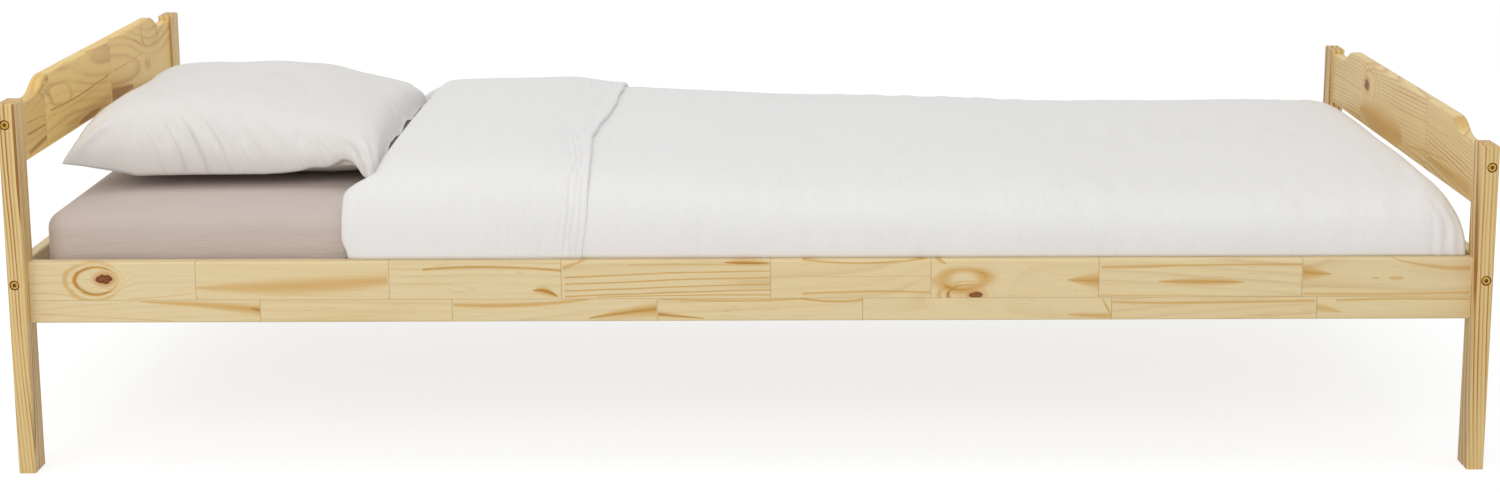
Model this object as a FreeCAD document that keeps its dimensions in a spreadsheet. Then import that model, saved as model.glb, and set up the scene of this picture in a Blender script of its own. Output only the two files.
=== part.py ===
import FreeCAD
import Part
import math
import os
from types import SimpleNamespace

import Sketcher

# Single bed of pine boards, with its bedding. Millimetres. The origin is on the floor under the
# middle of the bed, X runs from the head to the foot, Y from the front side to the back side, and
# Z is up.

SIZES = {
    # mattress and fitted sheet
    "mattress_length": 2000,
    "mattress_width": 890,
    "mattress_height": 110,
    "mattress_corner": 30,
    "mattress_edge": 24,
    "sheet_cloth": 1,
    "sheet_tuck": 60,
    "bedding_clear": 0.3,
    # room between the mattress and the frame
    "side_room": 9,
    "end_room": 16,
    # posts
    "post_thick": 24,
    "post_depth": 50,
    "head_post_height": 533,
    "foot_post_height": 466,
    "post_round": 3,
    # side rails, and cross rails of the same height
    "rail_height": 88,
    "rail_thick": 22,
    "rail_setback": 24,
    "rail_above_floor": 214,
    "rail_round": 3,
    # head and foot panels
    "panel_thick": 18,
    "panel_recess": 1,
    "panel_drop": 92,
    "panel_shoulder": 84,
    "panel_height": 106,
    "panel_flat": 60,
    "panel_ogee": 80,
    "panel_round": 4,
    # ledgers and slats
    "ledger_width": 20,
    "ledger_height": 20,
    "ledger_lift": 2,
    "ledger_end_gap": 30,
    "slat_count": 15,
    "slat_width": 68,
    "slat_thick": 16,
    "slat_end_gap": 2,
    "slat_margin": 37,
    "slat_round": 2,
    # bolts and barrel nuts
    "bolt_radius": 3,
    "bolt_clear": 0.4,
    "bolt_tip": 7,
    "bolt_tip_room": 2,
    "bolt_head_radius": 6.5,
    "bolt_head_height": 3.5,
    "bolt_head_round": 1.2,
    "bolt_recess_depth": 4.5,
    "bolt_recess_room": 0.6,
    "bolt_socket_radius": 3,
    "bolt_socket_depth": 2.4,
    "panel_bolt_drop": 30.5,
    "cross_bolt_drop": 27.5,
    "nut_radius": 5,
    "nut_length": 12,
    "nut_inset": 26,
    "nut_clear": 0.15,
    # dowels
    "dowel_radius": 4,
    "dowel_in_post": 14,
    "dowel_in_board": 25,
    "dowel_end_room": 1,
    "dowel_clear": 0.1,
    "panel_dowel_rise": 20,
    "cross_dowel_rise": 30,
    "rail_dowel_rise": 14,
    # screws
    "screw_radius": 2,
    "screw_head_radius": 4,
    "screw_head_height": 2.4,
    "screw_tip": 4,
    "screw_clear": 0.1,
    "slat_screw_length": 30,
    "ledger_screw_length": 34,
    # pillow
    "pillow_length": 650,
    "pillow_width": 459,
    "pillow_height": 136,
    "pillow_seam": 56,
    "pillow_lip": 3,
    "pillow_draw": 8,
    "pillow_head_gap": 3,
    "pillowcase_cloth": 1,
    # duvet
    "duvet_room": 3,
    "duvet_turn": 315,
    "duvet_turn_rise": 19,
    "duvet_hem_step": 6,
    "duvet_loft": 63,
    "duvet_edge_loft": 38,
    "duvet_shoulder": 38,
    "duvet_bulge": 3,
    "duvet_side": 15,
    "duvet_foot": 10.5,
    "duvet_nose": 45,
    "duvet_foot_round": 50,
    "duvet_corner": 42,
    "duvet_end_rise": 1,
    "duvet_cloth": 1,
}

# Shares along the pillow's half length, and where its section's points lie in its width
# and height.
PILLOW_STATION_SHARES = (0, 0.3, 0.55, 0.75, 0.88, 0.96, 1)
PILLOW_RISE_SHARES = (0.065, 0.42)
PILLOW_SHOULDER_SHARES = (0.2, 0.76)
PILLOW_UNDER_SHARES = (0.06, 0.55)
PILLOW_SOLE_SHARE = 0.2
# How blunt the pillow is towards its ends, above and below, and how much further its tips draw in.
PILLOW_CROWN_POWER = 3
PILLOW_SOLE_POWER = 2
TIP_INSET_SHARE = 3
# Shares along the duvet's turned edge and along its rounded foot end.
NOSE_STATION_SHARES = (0, 0.08, 0.25, 0.5, 1)
NOSE_START_SHARE = 0.3
FOOT_STATION_SHARES = (0, 0.3, 0.55, 0.75, 0.88, 0.96, 1)
FOOT_LOFT_SHARE = 0.58
SCREW_POINT_SHARE = 0.25
# Two places closer than this count as one.
SAME_PLACE = 1e-6

HEAD, FOOT = -1, 1
FRONT, BACK = -1, 1
END_NAMES = {HEAD: "head", FOOT: "foot"}
SIDE_NAMES = {FRONT: "front", BACK: "back"}


class Length:
    """A size of the sheet, or a sum of such sizes: its expression and its value now."""

    def __init__(self, text, value):
        self.text = text
        self.value = value

    def __float__(self):
        return float(self.value)

    def __neg__(self):
        return Length(f"(0 - {self.text})", -self.value)

    def __add__(self, other):
        return Length(f"({self.text} + {other.text})", self.value + other.value)

    def __sub__(self, other):
        return Length(f"({self.text} - {other.text})", self.value - other.value)

    def __mul__(self, factor):
        return Length(f"({self.text} * {factor})", self.value * factor)

    def __truediv__(self, factor):
        return Length(f"({self.text} / {factor})", self.value / factor)


doc = FreeCAD.newDocument("single_bed")
sheet = doc.addObject("Spreadsheet::Sheet", "Sizes")
for row, (alias, number) in enumerate(SIZES.items(), start=1):
    sheet.set(f"A{row}", alias)
    sheet.set(f"B{row}", str(number))
    sheet.setAlias(f"B{row}", alias)
doc.recompute()
size = SimpleNamespace(**{alias: Length(f"Sizes.{alias}", sheet.get(alias)) for alias in SIZES})
zero = Length("0", 0)
parts = []


def keep(piece, node):
    """Keep an object as the sub-part with this node name."""
    piece.Label = node
    parts.append(piece)
    return piece


def span(sign, near, far):
    """The stretch between two distances from the middle, on the side that the sign names."""
    if sign > 0:
        return near, far
    return -far, -near


def middle(stretch):
    """The middle of a stretch."""
    return (stretch[0] + stretch[1]) / 2


def place_on(sign, distance):
    """A distance from the middle, on the side that the sign names."""
    return distance if sign > 0 else -distance


# Places that several pieces share, worked out from the mattress outwards and from the floor upwards.
rail_inner = size.mattress_width / 2 + size.side_room
rail_outer = rail_inner + size.rail_thick
post_outer_y = rail_outer + size.rail_setback
post_inner_y = post_outer_y - size.post_depth
post_inner_x = size.mattress_length / 2 + size.end_room
post_outer_x = post_inner_x + size.post_thick
panel_outer = post_outer_x - size.panel_recess
panel_inner = panel_outer - size.panel_thick
rail_bottom = size.rail_above_floor
rail_top = rail_bottom + size.rail_height
ledger_bottom = rail_bottom + size.ledger_lift
slat_bottom = ledger_bottom + size.ledger_height
slat_top = slat_bottom + size.slat_thick
sheet_wall = size.sheet_cloth + size.bedding_clear
sheet_bottom = slat_top + size.bedding_clear
mattress_bottom = sheet_bottom + sheet_wall
mattress_top = mattress_bottom + size.mattress_height
sheet_top = mattress_top + sheet_wall
post_heights = {HEAD: size.head_post_height, FOOT: size.foot_post_height}

# Heights of the bolts and dowels.
cross_bolt_z = rail_top - size.cross_bolt_drop
cross_dowel_z = rail_bottom + size.cross_dowel_rise
rail_bolt_z = rail_bottom + size.rail_height / 2
rail_dowel_z = rail_bottom + size.rail_dowel_rise
bolt_reach = size.nut_inset + size.bolt_tip
dowel_reach = size.dowel_in_board + size.dowel_end_room
dowel_post_reach = size.dowel_in_post + size.dowel_end_room
nut_reach = size.nut_length / 2 + size.nut_clear
bolt_hole = size.bolt_radius + size.bolt_clear
dowel_hole = size.dowel_radius + size.dowel_clear
nut_hole = size.nut_radius + size.nut_clear
recess_hole = size.bolt_head_radius + size.bolt_recess_room
screw_hole = size.screw_radius + size.screw_clear
screw_head_hole = size.screw_head_radius + size.screw_clear

# Turns the Z axis of a round solid to the axis named.
AXIS_TURNS = {
    "x": FreeCAD.Rotation(FreeCAD.Vector(0, 1, 0), 90),
    "y": FreeCAD.Rotation(FreeCAD.Vector(1, 0, 0), -90),
    "z": FreeCAD.Rotation(),
}


def set_round(solid, place, radius_names, radii):
    """Bind a round solid: the one coordinate of its place that is a stretch is its axis and length."""
    axis = next(name for name, where in place.items() if isinstance(where, tuple))
    solid.Placement = FreeCAD.Placement(FreeCAD.Vector(), AXIS_TURNS[axis])
    for name, where in place.items():
        start = where[0] if name == axis else where
        solid.setExpression(f"Placement.Base.{name}", start.text)
    solid.setExpression("Height", (place[axis][1] - place[axis][0]).text)
    for name, radius in zip(radius_names, radii):
        solid.setExpression(name, radius.text)
    return solid


def drill(body, name, radius, x, y, z):
    """Drill a round hole in a body."""
    hole = body.newObject("PartDesign::SubtractiveCylinder", name)
    return set_round(hole, {"x": x, "y": y, "z": z}, ["Radius"], [radius])


def countersink(body, name, start_radius, end_radius, x, y, z):
    """Sink a conical seat for a screw head in a body."""
    seat = body.newObject("PartDesign::SubtractiveCone", name)
    return set_round(seat, {"x": x, "y": y, "z": z}, ["Radius1", "Radius2"], [start_radius, end_radius])


def rod(name, radius, x, y, z):
    """A plain round bar."""
    bar = doc.addObject("Part::Cylinder", name)
    return set_round(bar, {"x": x, "y": y, "z": z}, ["Radius"], [radius])


def taper(name, start_radius, end_radius, x, y, z):
    """A round bar that changes radius along its length."""
    bar = doc.addObject("Part::Cone", name)
    return set_round(bar, {"x": x, "y": y, "z": z}, ["Radius1", "Radius2"], [start_radius, end_radius])


def join(name, pieces):
    """One solid from pieces that touch."""
    joined = doc.addObject("Part::MultiFuse", name)
    joined.Shapes = pieces
    return joined


def group(node, pieces):
    """Separate like solids in one node."""
    gathered = doc.addObject("Part::Compound", node)
    gathered.Links = pieces
    return keep(gathered, node)


def is_along(edge, axis):
    """True for a straight edge that runs along the axis named."""
    ends = [vertex.Point for vertex in edge.Vertexes]
    if len(ends) < 2:
        return False
    run = (ends[1] - ends[0]).normalize()
    return abs(abs(getattr(run, axis)) - 1) < SAME_PLACE


def round_edges(body, name, radius, wanted):
    """Round the edges of the body's last feature that the test picks."""
    doc.recompute()
    base = body.Tip
    edges = base.Shape.Edges
    names = [f"Edge{index}" for index, edge in enumerate(edges, start=1) if wanted(edge)]
    rounding = body.newObject("PartDesign::Fillet", name)
    rounding.Base = (base, names)
    rounding.setExpression("Radius", radius.text)
    doc.recompute()
    return rounding


def board(name, x, y, z):
    """A sawn board that fills three stretches."""
    body = doc.addObject("PartDesign::Body", name)
    blank = body.newObject("PartDesign::AdditiveBox", name + "_blank")
    for axis, length, stretch in zip("xyz", ("Length", "Width", "Height"), (x, y, z)):
        blank.setExpression(f"Placement.Base.{axis}", stretch[0].text)
        blank.setExpression(length, (stretch[1] - stretch[0]).text)
    return body


def drill_post_end(body, end, side, height, label):
    """Drill a post for one end board: the bolt's hole and recess."""
    x = middle(span(end, panel_inner, panel_outer))
    drill(body, f"{body.Name}_{label}_bolt", bolt_hole, x, span(side, post_inner_y, post_outer_y), height)
    recess = span(side, post_outer_y - size.bolt_recess_depth, post_outer_y)
    drill(body, f"{body.Name}_{label}_recess", recess_hole, x, recess, height)


def make_post(end, side):
    """An upright post, drilled along Y for the end boards and along X for the side rail."""
    node = f"{END_NAMES[end]}_post_{SIDE_NAMES[side]}"
    top = post_heights[end]
    x = span(end, post_inner_x, post_outer_x)
    body = board(node, x, span(side, post_inner_y, post_outer_y), (zero, top))
    high = float(top)
    round_edges(body, node + "_rounding", size.post_round,
                lambda edge: is_along(edge, "z") or edge.BoundBox.ZMin > high / 2)
    panel_bottom = top - size.panel_drop
    board_x = middle(span(end, panel_inner, panel_outer))
    drill_post_end(body, end, side, top - size.panel_bolt_drop, "panel")
    drill_post_end(body, end, side, cross_bolt_z, "cross")
    dowel_y = span(side, post_inner_y, post_inner_y + dowel_post_reach)
    drill(body, node + "_panel_dowel", dowel_hole, board_x, dowel_y, panel_bottom + size.panel_dowel_rise)
    drill(body, node + "_cross_dowel", dowel_hole, board_x, dowel_y, cross_dowel_z)
    rail_y = middle(span(side, rail_inner, rail_outer))
    drill(body, node + "_rail_bolt", bolt_hole, x, rail_y, rail_bolt_z)
    recess_x = span(end, post_outer_x - size.bolt_recess_depth, post_outer_x)
    drill(body, node + "_rail_recess", recess_hole, recess_x, rail_y, rail_bolt_z)
    dowel_x = span(end, post_inner_x, post_inner_x + dowel_post_reach)
    drill(body, node + "_rail_dowel", dowel_hole, dowel_x, rail_y, rail_dowel_z)
    return keep(body, node)


def drill_board_ends(body, end, bolt_z, dowel_z):
    """Drill both ends of an end board: bolt hole, barrel nut hole from outside, dowel hole."""
    x = middle(span(end, panel_inner, panel_outer))
    nut_x = span(end, (panel_inner + panel_outer) / 2 - nut_reach, panel_outer)
    for side in (FRONT, BACK):
        tag = f"{body.Name}_{SIDE_NAMES[side]}"
        bolt_y = span(side, post_inner_y - bolt_reach - size.bolt_tip_room, post_inner_y)
        drill(body, tag + "_bolt", bolt_hole, x, bolt_y, bolt_z)
        nut_y = place_on(side, post_inner_y - size.nut_inset)
        drill(body, tag + "_nut", nut_hole, nut_x, nut_y, bolt_z)
        dowel_y = span(side, post_inner_y - dowel_reach, post_inner_y)
        drill(body, tag + "_dowel", dowel_hole, x, dowel_y, dowel_z)


def panel_outline(sketch):
    """Draw the panel from its lower corner: flat shoulders, an S of two arcs up to the raised centre."""
    width = post_inner_y * 2
    low = size.panel_shoulder
    high = size.panel_height
    half_way = (low + high) / 2
    flat = size.panel_flat
    run = size.panel_ogee
    rise = high - low
    radius_text = f"(({run.text})^2 + ({rise.text})^2) / (4 * {rise.text})"
    radius = (float(run) ** 2 + float(rise) ** 2) / (4 * float(rise))
    corners = [
        (zero, zero), (width, zero), (width, low), (width - flat, low),
        (width - flat - run / 2, half_way), (width - flat - run, high),
        (flat + run, high), (flat + run / 2, half_way), (flat, low), (zero, low),
    ]
    points = [FreeCAD.Vector(float(u), float(v), 0) for u, v in corners]
    turn = math.asin(float(run) / 2 / radius)
    up = math.pi / 2
    lift = FreeCAD.Vector(0, radius, 0)
    # Each arc: its centre, its first and last angle, and the corners at its start and end.
    arcs = {
        3: (points[3] + lift, -up - turn, -up, 4, 3),
        4: (points[5] - lift, up - turn, up, 4, 5),
        6: (points[6] - lift, up, up + turn, 6, 7),
        7: (points[8] + lift, -up, -up + turn, 8, 7),
    }
    ends = {}
    for index, point in enumerate(points):
        following = (index + 1) % len(points)
        if index in arcs:
            centre, first, last, start, finish = arcs[index]
            circle = Part.Circle(centre, FreeCAD.Vector(0, 0, 1), radius)
            edge = sketch.addGeometry(Part.ArcOfCircle(circle, first, last), False)
            bend = sketch.addConstraint(Sketcher.Constraint("Radius", edge, radius))
            sketch.setExpression(f"Constraints[{bend}]", radius_text)
        else:
            edge = sketch.addGeometry(Part.LineSegment(point, points[following]), False)
            start, finish = index, following
        ends.setdefault(start, []).append((edge, 1))
        ends.setdefault(finish, []).append((edge, 2))
    for corner, (u, v) in enumerate(corners):
        (edge, spot), (other_edge, other_spot) = ends[corner]
        sketch.addConstraint(Sketcher.Constraint("Coincident", edge, spot, other_edge, other_spot))
        for kind, place, axis in (("DistanceX", u, -2), ("DistanceY", v, -1)):
            if place is zero:
                sketch.addConstraint(Sketcher.Constraint("PointOnObject", edge, spot, axis))
            else:
                held = sketch.addConstraint(Sketcher.Constraint(kind, edge, spot, float(place)))
                sketch.setExpression(f"Constraints[{held}]", place.text)


def make_panel(end):
    """The shaped board between the two posts of one end."""
    node = f"{END_NAMES[end]}_panel"
    bottom = post_heights[end] - size.panel_drop
    body = doc.addObject("PartDesign::Body", node)
    sketch = body.newObject("Sketcher::SketchObject", node + "_outline")
    plane = next(item for item in body.Origin.OriginFeatures if item.Role == "YZ_Plane")
    sketch.AttachmentSupport = [(plane, "")]
    sketch.MapMode = "FlatFace"
    sketch.setExpression("AttachmentOffset.Base.x", (-post_inner_y).text)
    sketch.setExpression("AttachmentOffset.Base.y", bottom.text)
    sketch.setExpression("AttachmentOffset.Base.z", span(end, panel_inner, panel_outer)[0].text)
    panel_outline(sketch)
    doc.recompute()
    pad = body.newObject("PartDesign::Pad", node + "_board")
    pad.Profile = sketch
    pad.setExpression("Length", size.panel_thick.text)
    limit = float(bottom + size.panel_shoulder / 2)
    round_edges(body, node + "_rounding", size.panel_round,
                lambda edge: edge.BoundBox.ZMin > limit and not is_along(edge, "x"))
    drill_board_ends(body, end, post_heights[end] - size.panel_bolt_drop, bottom + size.panel_dowel_rise)
    return keep(body, node)


def make_cross_rail(end):
    """The lower board between the two posts of one end, level with the side rails."""
    node = f"{END_NAMES[end]}_cross_rail"
    x = span(end, panel_inner, panel_outer)
    body = board(node, x, (-post_inner_y, post_inner_y), (rail_bottom, rail_top))
    round_edges(body, node + "_rounding", size.rail_round, lambda edge: is_along(edge, "y"))
    drill_board_ends(body, end, cross_bolt_z, cross_dowel_z)
    return keep(body, node)


def gap_places():
    """Middles of every second gap between the slats, where the ledgers are screwed on."""
    places = slat_places()
    return [(places[index] + places[index + 1]) / 2 for index in range(0, len(places) - 1, 2)]


def slat_places():
    """Middles of the slats along X, evenly spaced between the end margins."""
    count = int(float(size.slat_count))
    first = post_inner_x - size.slat_margin - size.slat_width / 2
    pitch = first * 2 / (count - 1)
    return [pitch * index - first for index in range(count)]


def make_side_rail(side):
    """A side rail between the head and foot posts, drilled at its ends and for the ledger's screws."""
    node = f"side_rail_{SIDE_NAMES[side]}"
    y = span(side, rail_inner, rail_outer)
    body = board(node, (-post_inner_x, post_inner_x), y, (rail_bottom, rail_top))
    round_edges(body, node + "_rounding", size.rail_round, lambda edge: is_along(edge, "x"))
    nut_y = span(side, rail_inner, (rail_inner + rail_outer) / 2 + nut_reach)
    for end in (HEAD, FOOT):
        tag = f"{node}_{END_NAMES[end]}"
        bolt_x = span(end, post_inner_x - bolt_reach - size.bolt_tip_room, post_inner_x)
        drill(body, tag + "_bolt", bolt_hole, bolt_x, middle(y), rail_bolt_z)
        nut_x = place_on(end, post_inner_x - size.nut_inset)
        drill(body, tag + "_nut", nut_hole, nut_x, nut_y, rail_bolt_z)
        dowel_x = span(end, post_inner_x - dowel_reach, post_inner_x)
        drill(body, tag + "_dowel", dowel_hole, dowel_x, middle(y), rail_dowel_z)
    ledger_inner = rail_inner - size.ledger_width
    screw_end = ledger_inner + size.ledger_screw_length + size.screw_clear
    for index, x in enumerate(gap_places(), start=1):
        pilot = span(side, rail_inner, screw_end)
        drill(body, f"{node}_pilot_{index:02d}", screw_hole, x, pilot, (ledger_bottom + slat_bottom) / 2)
    return keep(body, node)


def make_ledger(side):
    """The strip inside a side rail that carries the slats."""
    node = f"slat_ledger_{SIDE_NAMES[side]}"
    half = post_inner_x - size.ledger_end_gap
    inner = rail_inner - size.ledger_width
    y = span(side, inner, rail_inner)
    body = board(node, (-half, half), y, (ledger_bottom, slat_bottom))
    screw_z = (ledger_bottom + slat_bottom) / 2
    head_y = span(side, inner, inner + size.screw_head_height)
    radii = (screw_head_hole, screw_hole) if side > 0 else (screw_hole, screw_head_hole)
    for index, x in enumerate(gap_places(), start=1):
        drill(body, f"{node}_hole_{index:02d}", screw_hole, x, y, screw_z)
        countersink(body, f"{node}_seat_{index:02d}", *radii, x, head_y, screw_z)
    pilot_bottom = slat_top - size.slat_screw_length - size.screw_clear
    for index, x in enumerate(slat_places(), start=1):
        drill(body, f"{node}_pilot_{index:02d}", screw_hole, x, middle(y), (pilot_bottom, slat_bottom))
    return keep(body, node)


def make_slat(number, x):
    """One slat, screwed down at both ends."""
    node = f"slat_{number:02d}"
    half = rail_inner - size.slat_end_gap
    across = (x - size.slat_width / 2, x + size.slat_width / 2)
    body = board(node, across, (-half, half), (slat_bottom, slat_top))
    round_edges(body, node + "_rounding", size.slat_round, lambda edge: is_along(edge, "y"))
    for side in (FRONT, BACK):
        tag = f"{node}_{SIDE_NAMES[side]}"
        y = middle(span(side, rail_inner - size.ledger_width, rail_inner))
        drill(body, tag + "_hole", screw_hole, x, y, (slat_bottom, slat_top))
        seat_z = (slat_top - size.screw_head_height, slat_top)
        countersink(body, tag + "_seat", screw_hole, screw_head_hole, x, y, seat_z)
    return keep(body, node)


def make_bolt(name, axis, sign, face, reach, x, y, z):
    """A bolt with a hex socket in its rounded head, driven inwards from a post's outer face."""
    seat = face - size.bolt_recess_depth
    crown = seat + size.bolt_head_height
    rim = crown - size.bolt_head_round
    neck = size.bolt_head_radius - size.bolt_head_round
    socket = crown - size.bolt_socket_depth
    place = {"x": x, "y": y, "z": z}
    head = rod(name + "_head", size.bolt_head_radius, **{**place, axis: span(sign, seat, rim)})
    radii = (size.bolt_head_radius, neck) if sign > 0 else (neck, size.bolt_head_radius)
    dome = taper(name + "_dome", *radii, **{**place, axis: span(sign, rim, crown)})
    shank = rod(name + "_shank", size.bolt_radius, **{**place, axis: span(sign, reach, seat)})
    key = doc.addObject("Part::Prism", name + "_key")
    key.Polygon = 6
    set_round(key, {**place, axis: span(sign, socket, crown)}, ["Circumradius"], [size.bolt_socket_radius])
    bolt = doc.addObject("Part::Cut", name)
    bolt.Base = join(name + "_blank", [head, dome, shank])
    bolt.Tool = key
    return bolt


def make_nut(name, nut_place, bolt_place):
    """A barrel nut with its cross hole."""
    barrel = rod(name + "_barrel", size.nut_radius, **nut_place)
    nut = doc.addObject("Part::Cut", name)
    nut.Base = barrel
    nut.Tool = rod(name + "_thread", size.bolt_radius + size.bolt_clear, **bolt_place)
    return nut


def around(centre, half):
    """The stretch of a half length each way from a centre."""
    return centre - half, centre + half


def make_end_fasteners():
    """Bolts, barrel nuts and dowels that hold the panels and the cross rails between the posts."""
    bolts, nuts, dowels = [], [], []
    for end in (HEAD, FOOT):
        x = middle(span(end, panel_inner, panel_outer))
        panel_bottom = post_heights[end] - size.panel_drop
        rows = (
            ("panel", post_heights[end] - size.panel_bolt_drop, panel_bottom + size.panel_dowel_rise),
            ("cross", cross_bolt_z, cross_dowel_z),
        )
        for side in (FRONT, BACK):
            for label, bolt_z, dowel_z in rows:
                tag = f"{END_NAMES[end]}_{SIDE_NAMES[side]}_{label}"
                bolts.append(make_bolt(tag + "_bolt", "y", side, post_outer_y, post_inner_y - bolt_reach,
                                       x, zero, bolt_z))
                nut_y = place_on(side, post_inner_y - size.nut_inset)
                nuts.append(make_nut(
                    tag + "_nut",
                    {"x": around(x, size.nut_length / 2), "y": nut_y, "z": bolt_z},
                    {"x": x, "y": around(nut_y, size.nut_radius * 2), "z": bolt_z},
                ))
                dowel_y = span(side, post_inner_y - size.dowel_in_board, post_inner_y + size.dowel_in_post)
                dowels.append(rod(tag + "_dowel", size.dowel_radius, x, dowel_y, dowel_z))
    group("end_frame_bolts", bolts)
    group("end_frame_barrel_nuts", nuts)
    group("end_frame_dowels", dowels)


def make_rail_fasteners():
    """Bolts, barrel nuts and dowels that hold the side rails to the posts."""
    bolts, nuts, dowels = [], [], []
    for end in (HEAD, FOOT):
        for side in (FRONT, BACK):
            tag = f"{END_NAMES[end]}_{SIDE_NAMES[side]}_rail"
            y = middle(span(side, rail_inner, rail_outer))
            bolts.append(make_bolt(tag + "_bolt", "x", end, post_outer_x, post_inner_x - bolt_reach,
                                   zero, y, rail_bolt_z))
            nut_x = place_on(end, post_inner_x - size.nut_inset)
            nuts.append(make_nut(
                tag + "_nut",
                {"x": nut_x, "y": around(y, size.nut_length / 2), "z": rail_bolt_z},
                {"x": around(nut_x, size.nut_radius * 2), "y": y, "z": rail_bolt_z},
            ))
            dowel_x = span(end, post_inner_x - size.dowel_in_board, post_inner_x + size.dowel_in_post)
            dowels.append(rod(tag + "_dowel", size.dowel_radius, dowel_x, y, rail_dowel_z))
    group("rail_bolts", bolts)
    group("rail_barrel_nuts", nuts)
    group("rail_dowels", dowels)


def make_screw(name, axis, sign, face, length, place):
    """A countersunk screw driven against the sign of its axis, its head level with a face."""
    neck = face - size.screw_head_height
    point = face - length
    tip = point + size.screw_tip
    wide, slim = size.screw_head_radius, size.screw_radius
    end = slim * SCREW_POINT_SHARE
    head_radii = (slim, wide) if sign > 0 else (wide, slim)
    tip_radii = (end, slim) if sign > 0 else (slim, end)
    head = taper(name + "_head", *head_radii, **{**place, axis: span(sign, neck, face)})
    shank = rod(name + "_shank", slim, **{**place, axis: span(sign, tip, neck)})
    nose = taper(name + "_tip", *tip_radii, **{**place, axis: span(sign, point, tip)})
    return join(name, [head, shank, nose])


def make_screws():
    """Screws that hold the slats to the ledgers and the ledgers to the side rails."""
    slat_screws, ledger_screws = [], []
    inner = rail_inner - size.ledger_width
    screw_z = (ledger_bottom + slat_bottom) / 2
    for side in (FRONT, BACK):
        y = middle(span(side, inner, rail_inner))
        for number, x in enumerate(slat_places(), start=1):
            name = f"slat_screw_{SIDE_NAMES[side]}_{number:02d}"
            slat_screws.append(make_screw(name, "z", 1, slat_top, size.slat_screw_length, {"x": x, "y": y}))
        for number, x in enumerate(gap_places(), start=1):
            name = f"ledger_screw_{SIDE_NAMES[side]}_{number:02d}"
            place = {"x": x, "z": screw_z}
            # The head lies on the ledger's inner face, so the screw runs outwards from it.
            ledger_screws.append(make_screw(name, "y", -side, -inner, size.ledger_screw_length, place))
    group("slat_screws", slat_screws)
    group("ledger_screws", ledger_screws)


def padded_block(name, half_x, half_y, z, corner, edge):
    """A block with rounded upright corners and rounded upper and lower edges."""
    body = board(name, (-half_x, half_x), (-half_y, half_y), z)
    round_edges(body, name + "_corners", corner, lambda item: is_along(item, "z"))
    bottom, top = float(z[0]) + SAME_PLACE, float(z[1]) - SAME_PLACE
    round_edges(body, name + "_edges", edge,
                lambda item: item.BoundBox.ZMin > top or item.BoundBox.ZMax < bottom)
    return body


def make_mattress():
    """The mattress core and the fitted sheet that wraps it, tucked under all round."""
    half_x = size.mattress_length / 2
    half_y = size.mattress_width / 2
    core = padded_block("mattress", half_x, half_y, (mattress_bottom, mattress_top),
                        size.mattress_corner, size.mattress_edge)
    keep(core, "mattress")
    outer = padded_block("sheet_outside", half_x + sheet_wall, half_y + sheet_wall,
                         (sheet_bottom, sheet_top),
                         size.mattress_corner + sheet_wall, size.mattress_edge + sheet_wall)
    gap = size.bedding_clear
    inner = padded_block("sheet_inside", half_x + gap, half_y + gap,
                         (mattress_bottom - gap, mattress_top + gap),
                         size.mattress_corner + gap, size.mattress_edge + gap)
    hole_x = half_x - size.sheet_tuck
    hole_y = half_y - size.sheet_tuck
    hole = board("sheet_opening", (-hole_x, hole_x), (-hole_y, hole_y), (slat_top, mattress_bottom))
    round_edges(hole, "sheet_opening_corners", size.mattress_corner, lambda edge: is_along(edge, "z"))
    fitted = doc.addObject("Part::Cut", "fitted_sheet")
    fitted.Base = outer
    fitted.Tool = join("sheet_hollow", [inner, hole])
    keep(fitted, "fitted_sheet")


def arc(first, through, last):
    """An arc through three points."""
    return Part.Arc(*(FreeCAD.Vector(*point) for point in (first, through, last))).toShape()


def line(first, last):
    """A straight edge."""
    return Part.LineSegment(FreeCAD.Vector(*first), FreeCAD.Vector(*last)).toShape()


def pillow_section(y, left, right, seam, top, bottom):
    """A cross-section of the pillow: seam to shoulder to crown to shoulder to seam, and a flat sole."""
    width = right - left
    rise = top - seam
    fall = seam - bottom

    def upper(across, up):
        return left + width * across, y, seam + rise * up

    def lower(across, down):
        return left + width * across, y, seam - fall * down

    in_rise, up_rise = PILLOW_RISE_SHARES
    in_shoulder, up_shoulder = PILLOW_SHOULDER_SHARES
    in_under, down_under = PILLOW_UNDER_SHARES
    left_tip, right_tip = upper(0, 0), upper(1, 0)
    left_shoulder = upper(in_shoulder, up_shoulder)
    right_shoulder = upper(1 - in_shoulder, up_shoulder)
    left_sole = lower(PILLOW_SOLE_SHARE, 1)
    right_sole = lower(1 - PILLOW_SOLE_SHARE, 1)
    return Part.Wire([
        arc(left_tip, upper(in_rise, up_rise), left_shoulder),
        arc(left_shoulder, upper(1 / 2, 1), right_shoulder),
        arc(right_shoulder, upper(1 - in_rise, up_rise), right_tip),
        arc(right_tip, lower(1 - in_under, down_under), right_sole),
        line(right_sole, left_sole),
        arc(left_sole, lower(in_under, down_under), left_tip),
    ])


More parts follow.
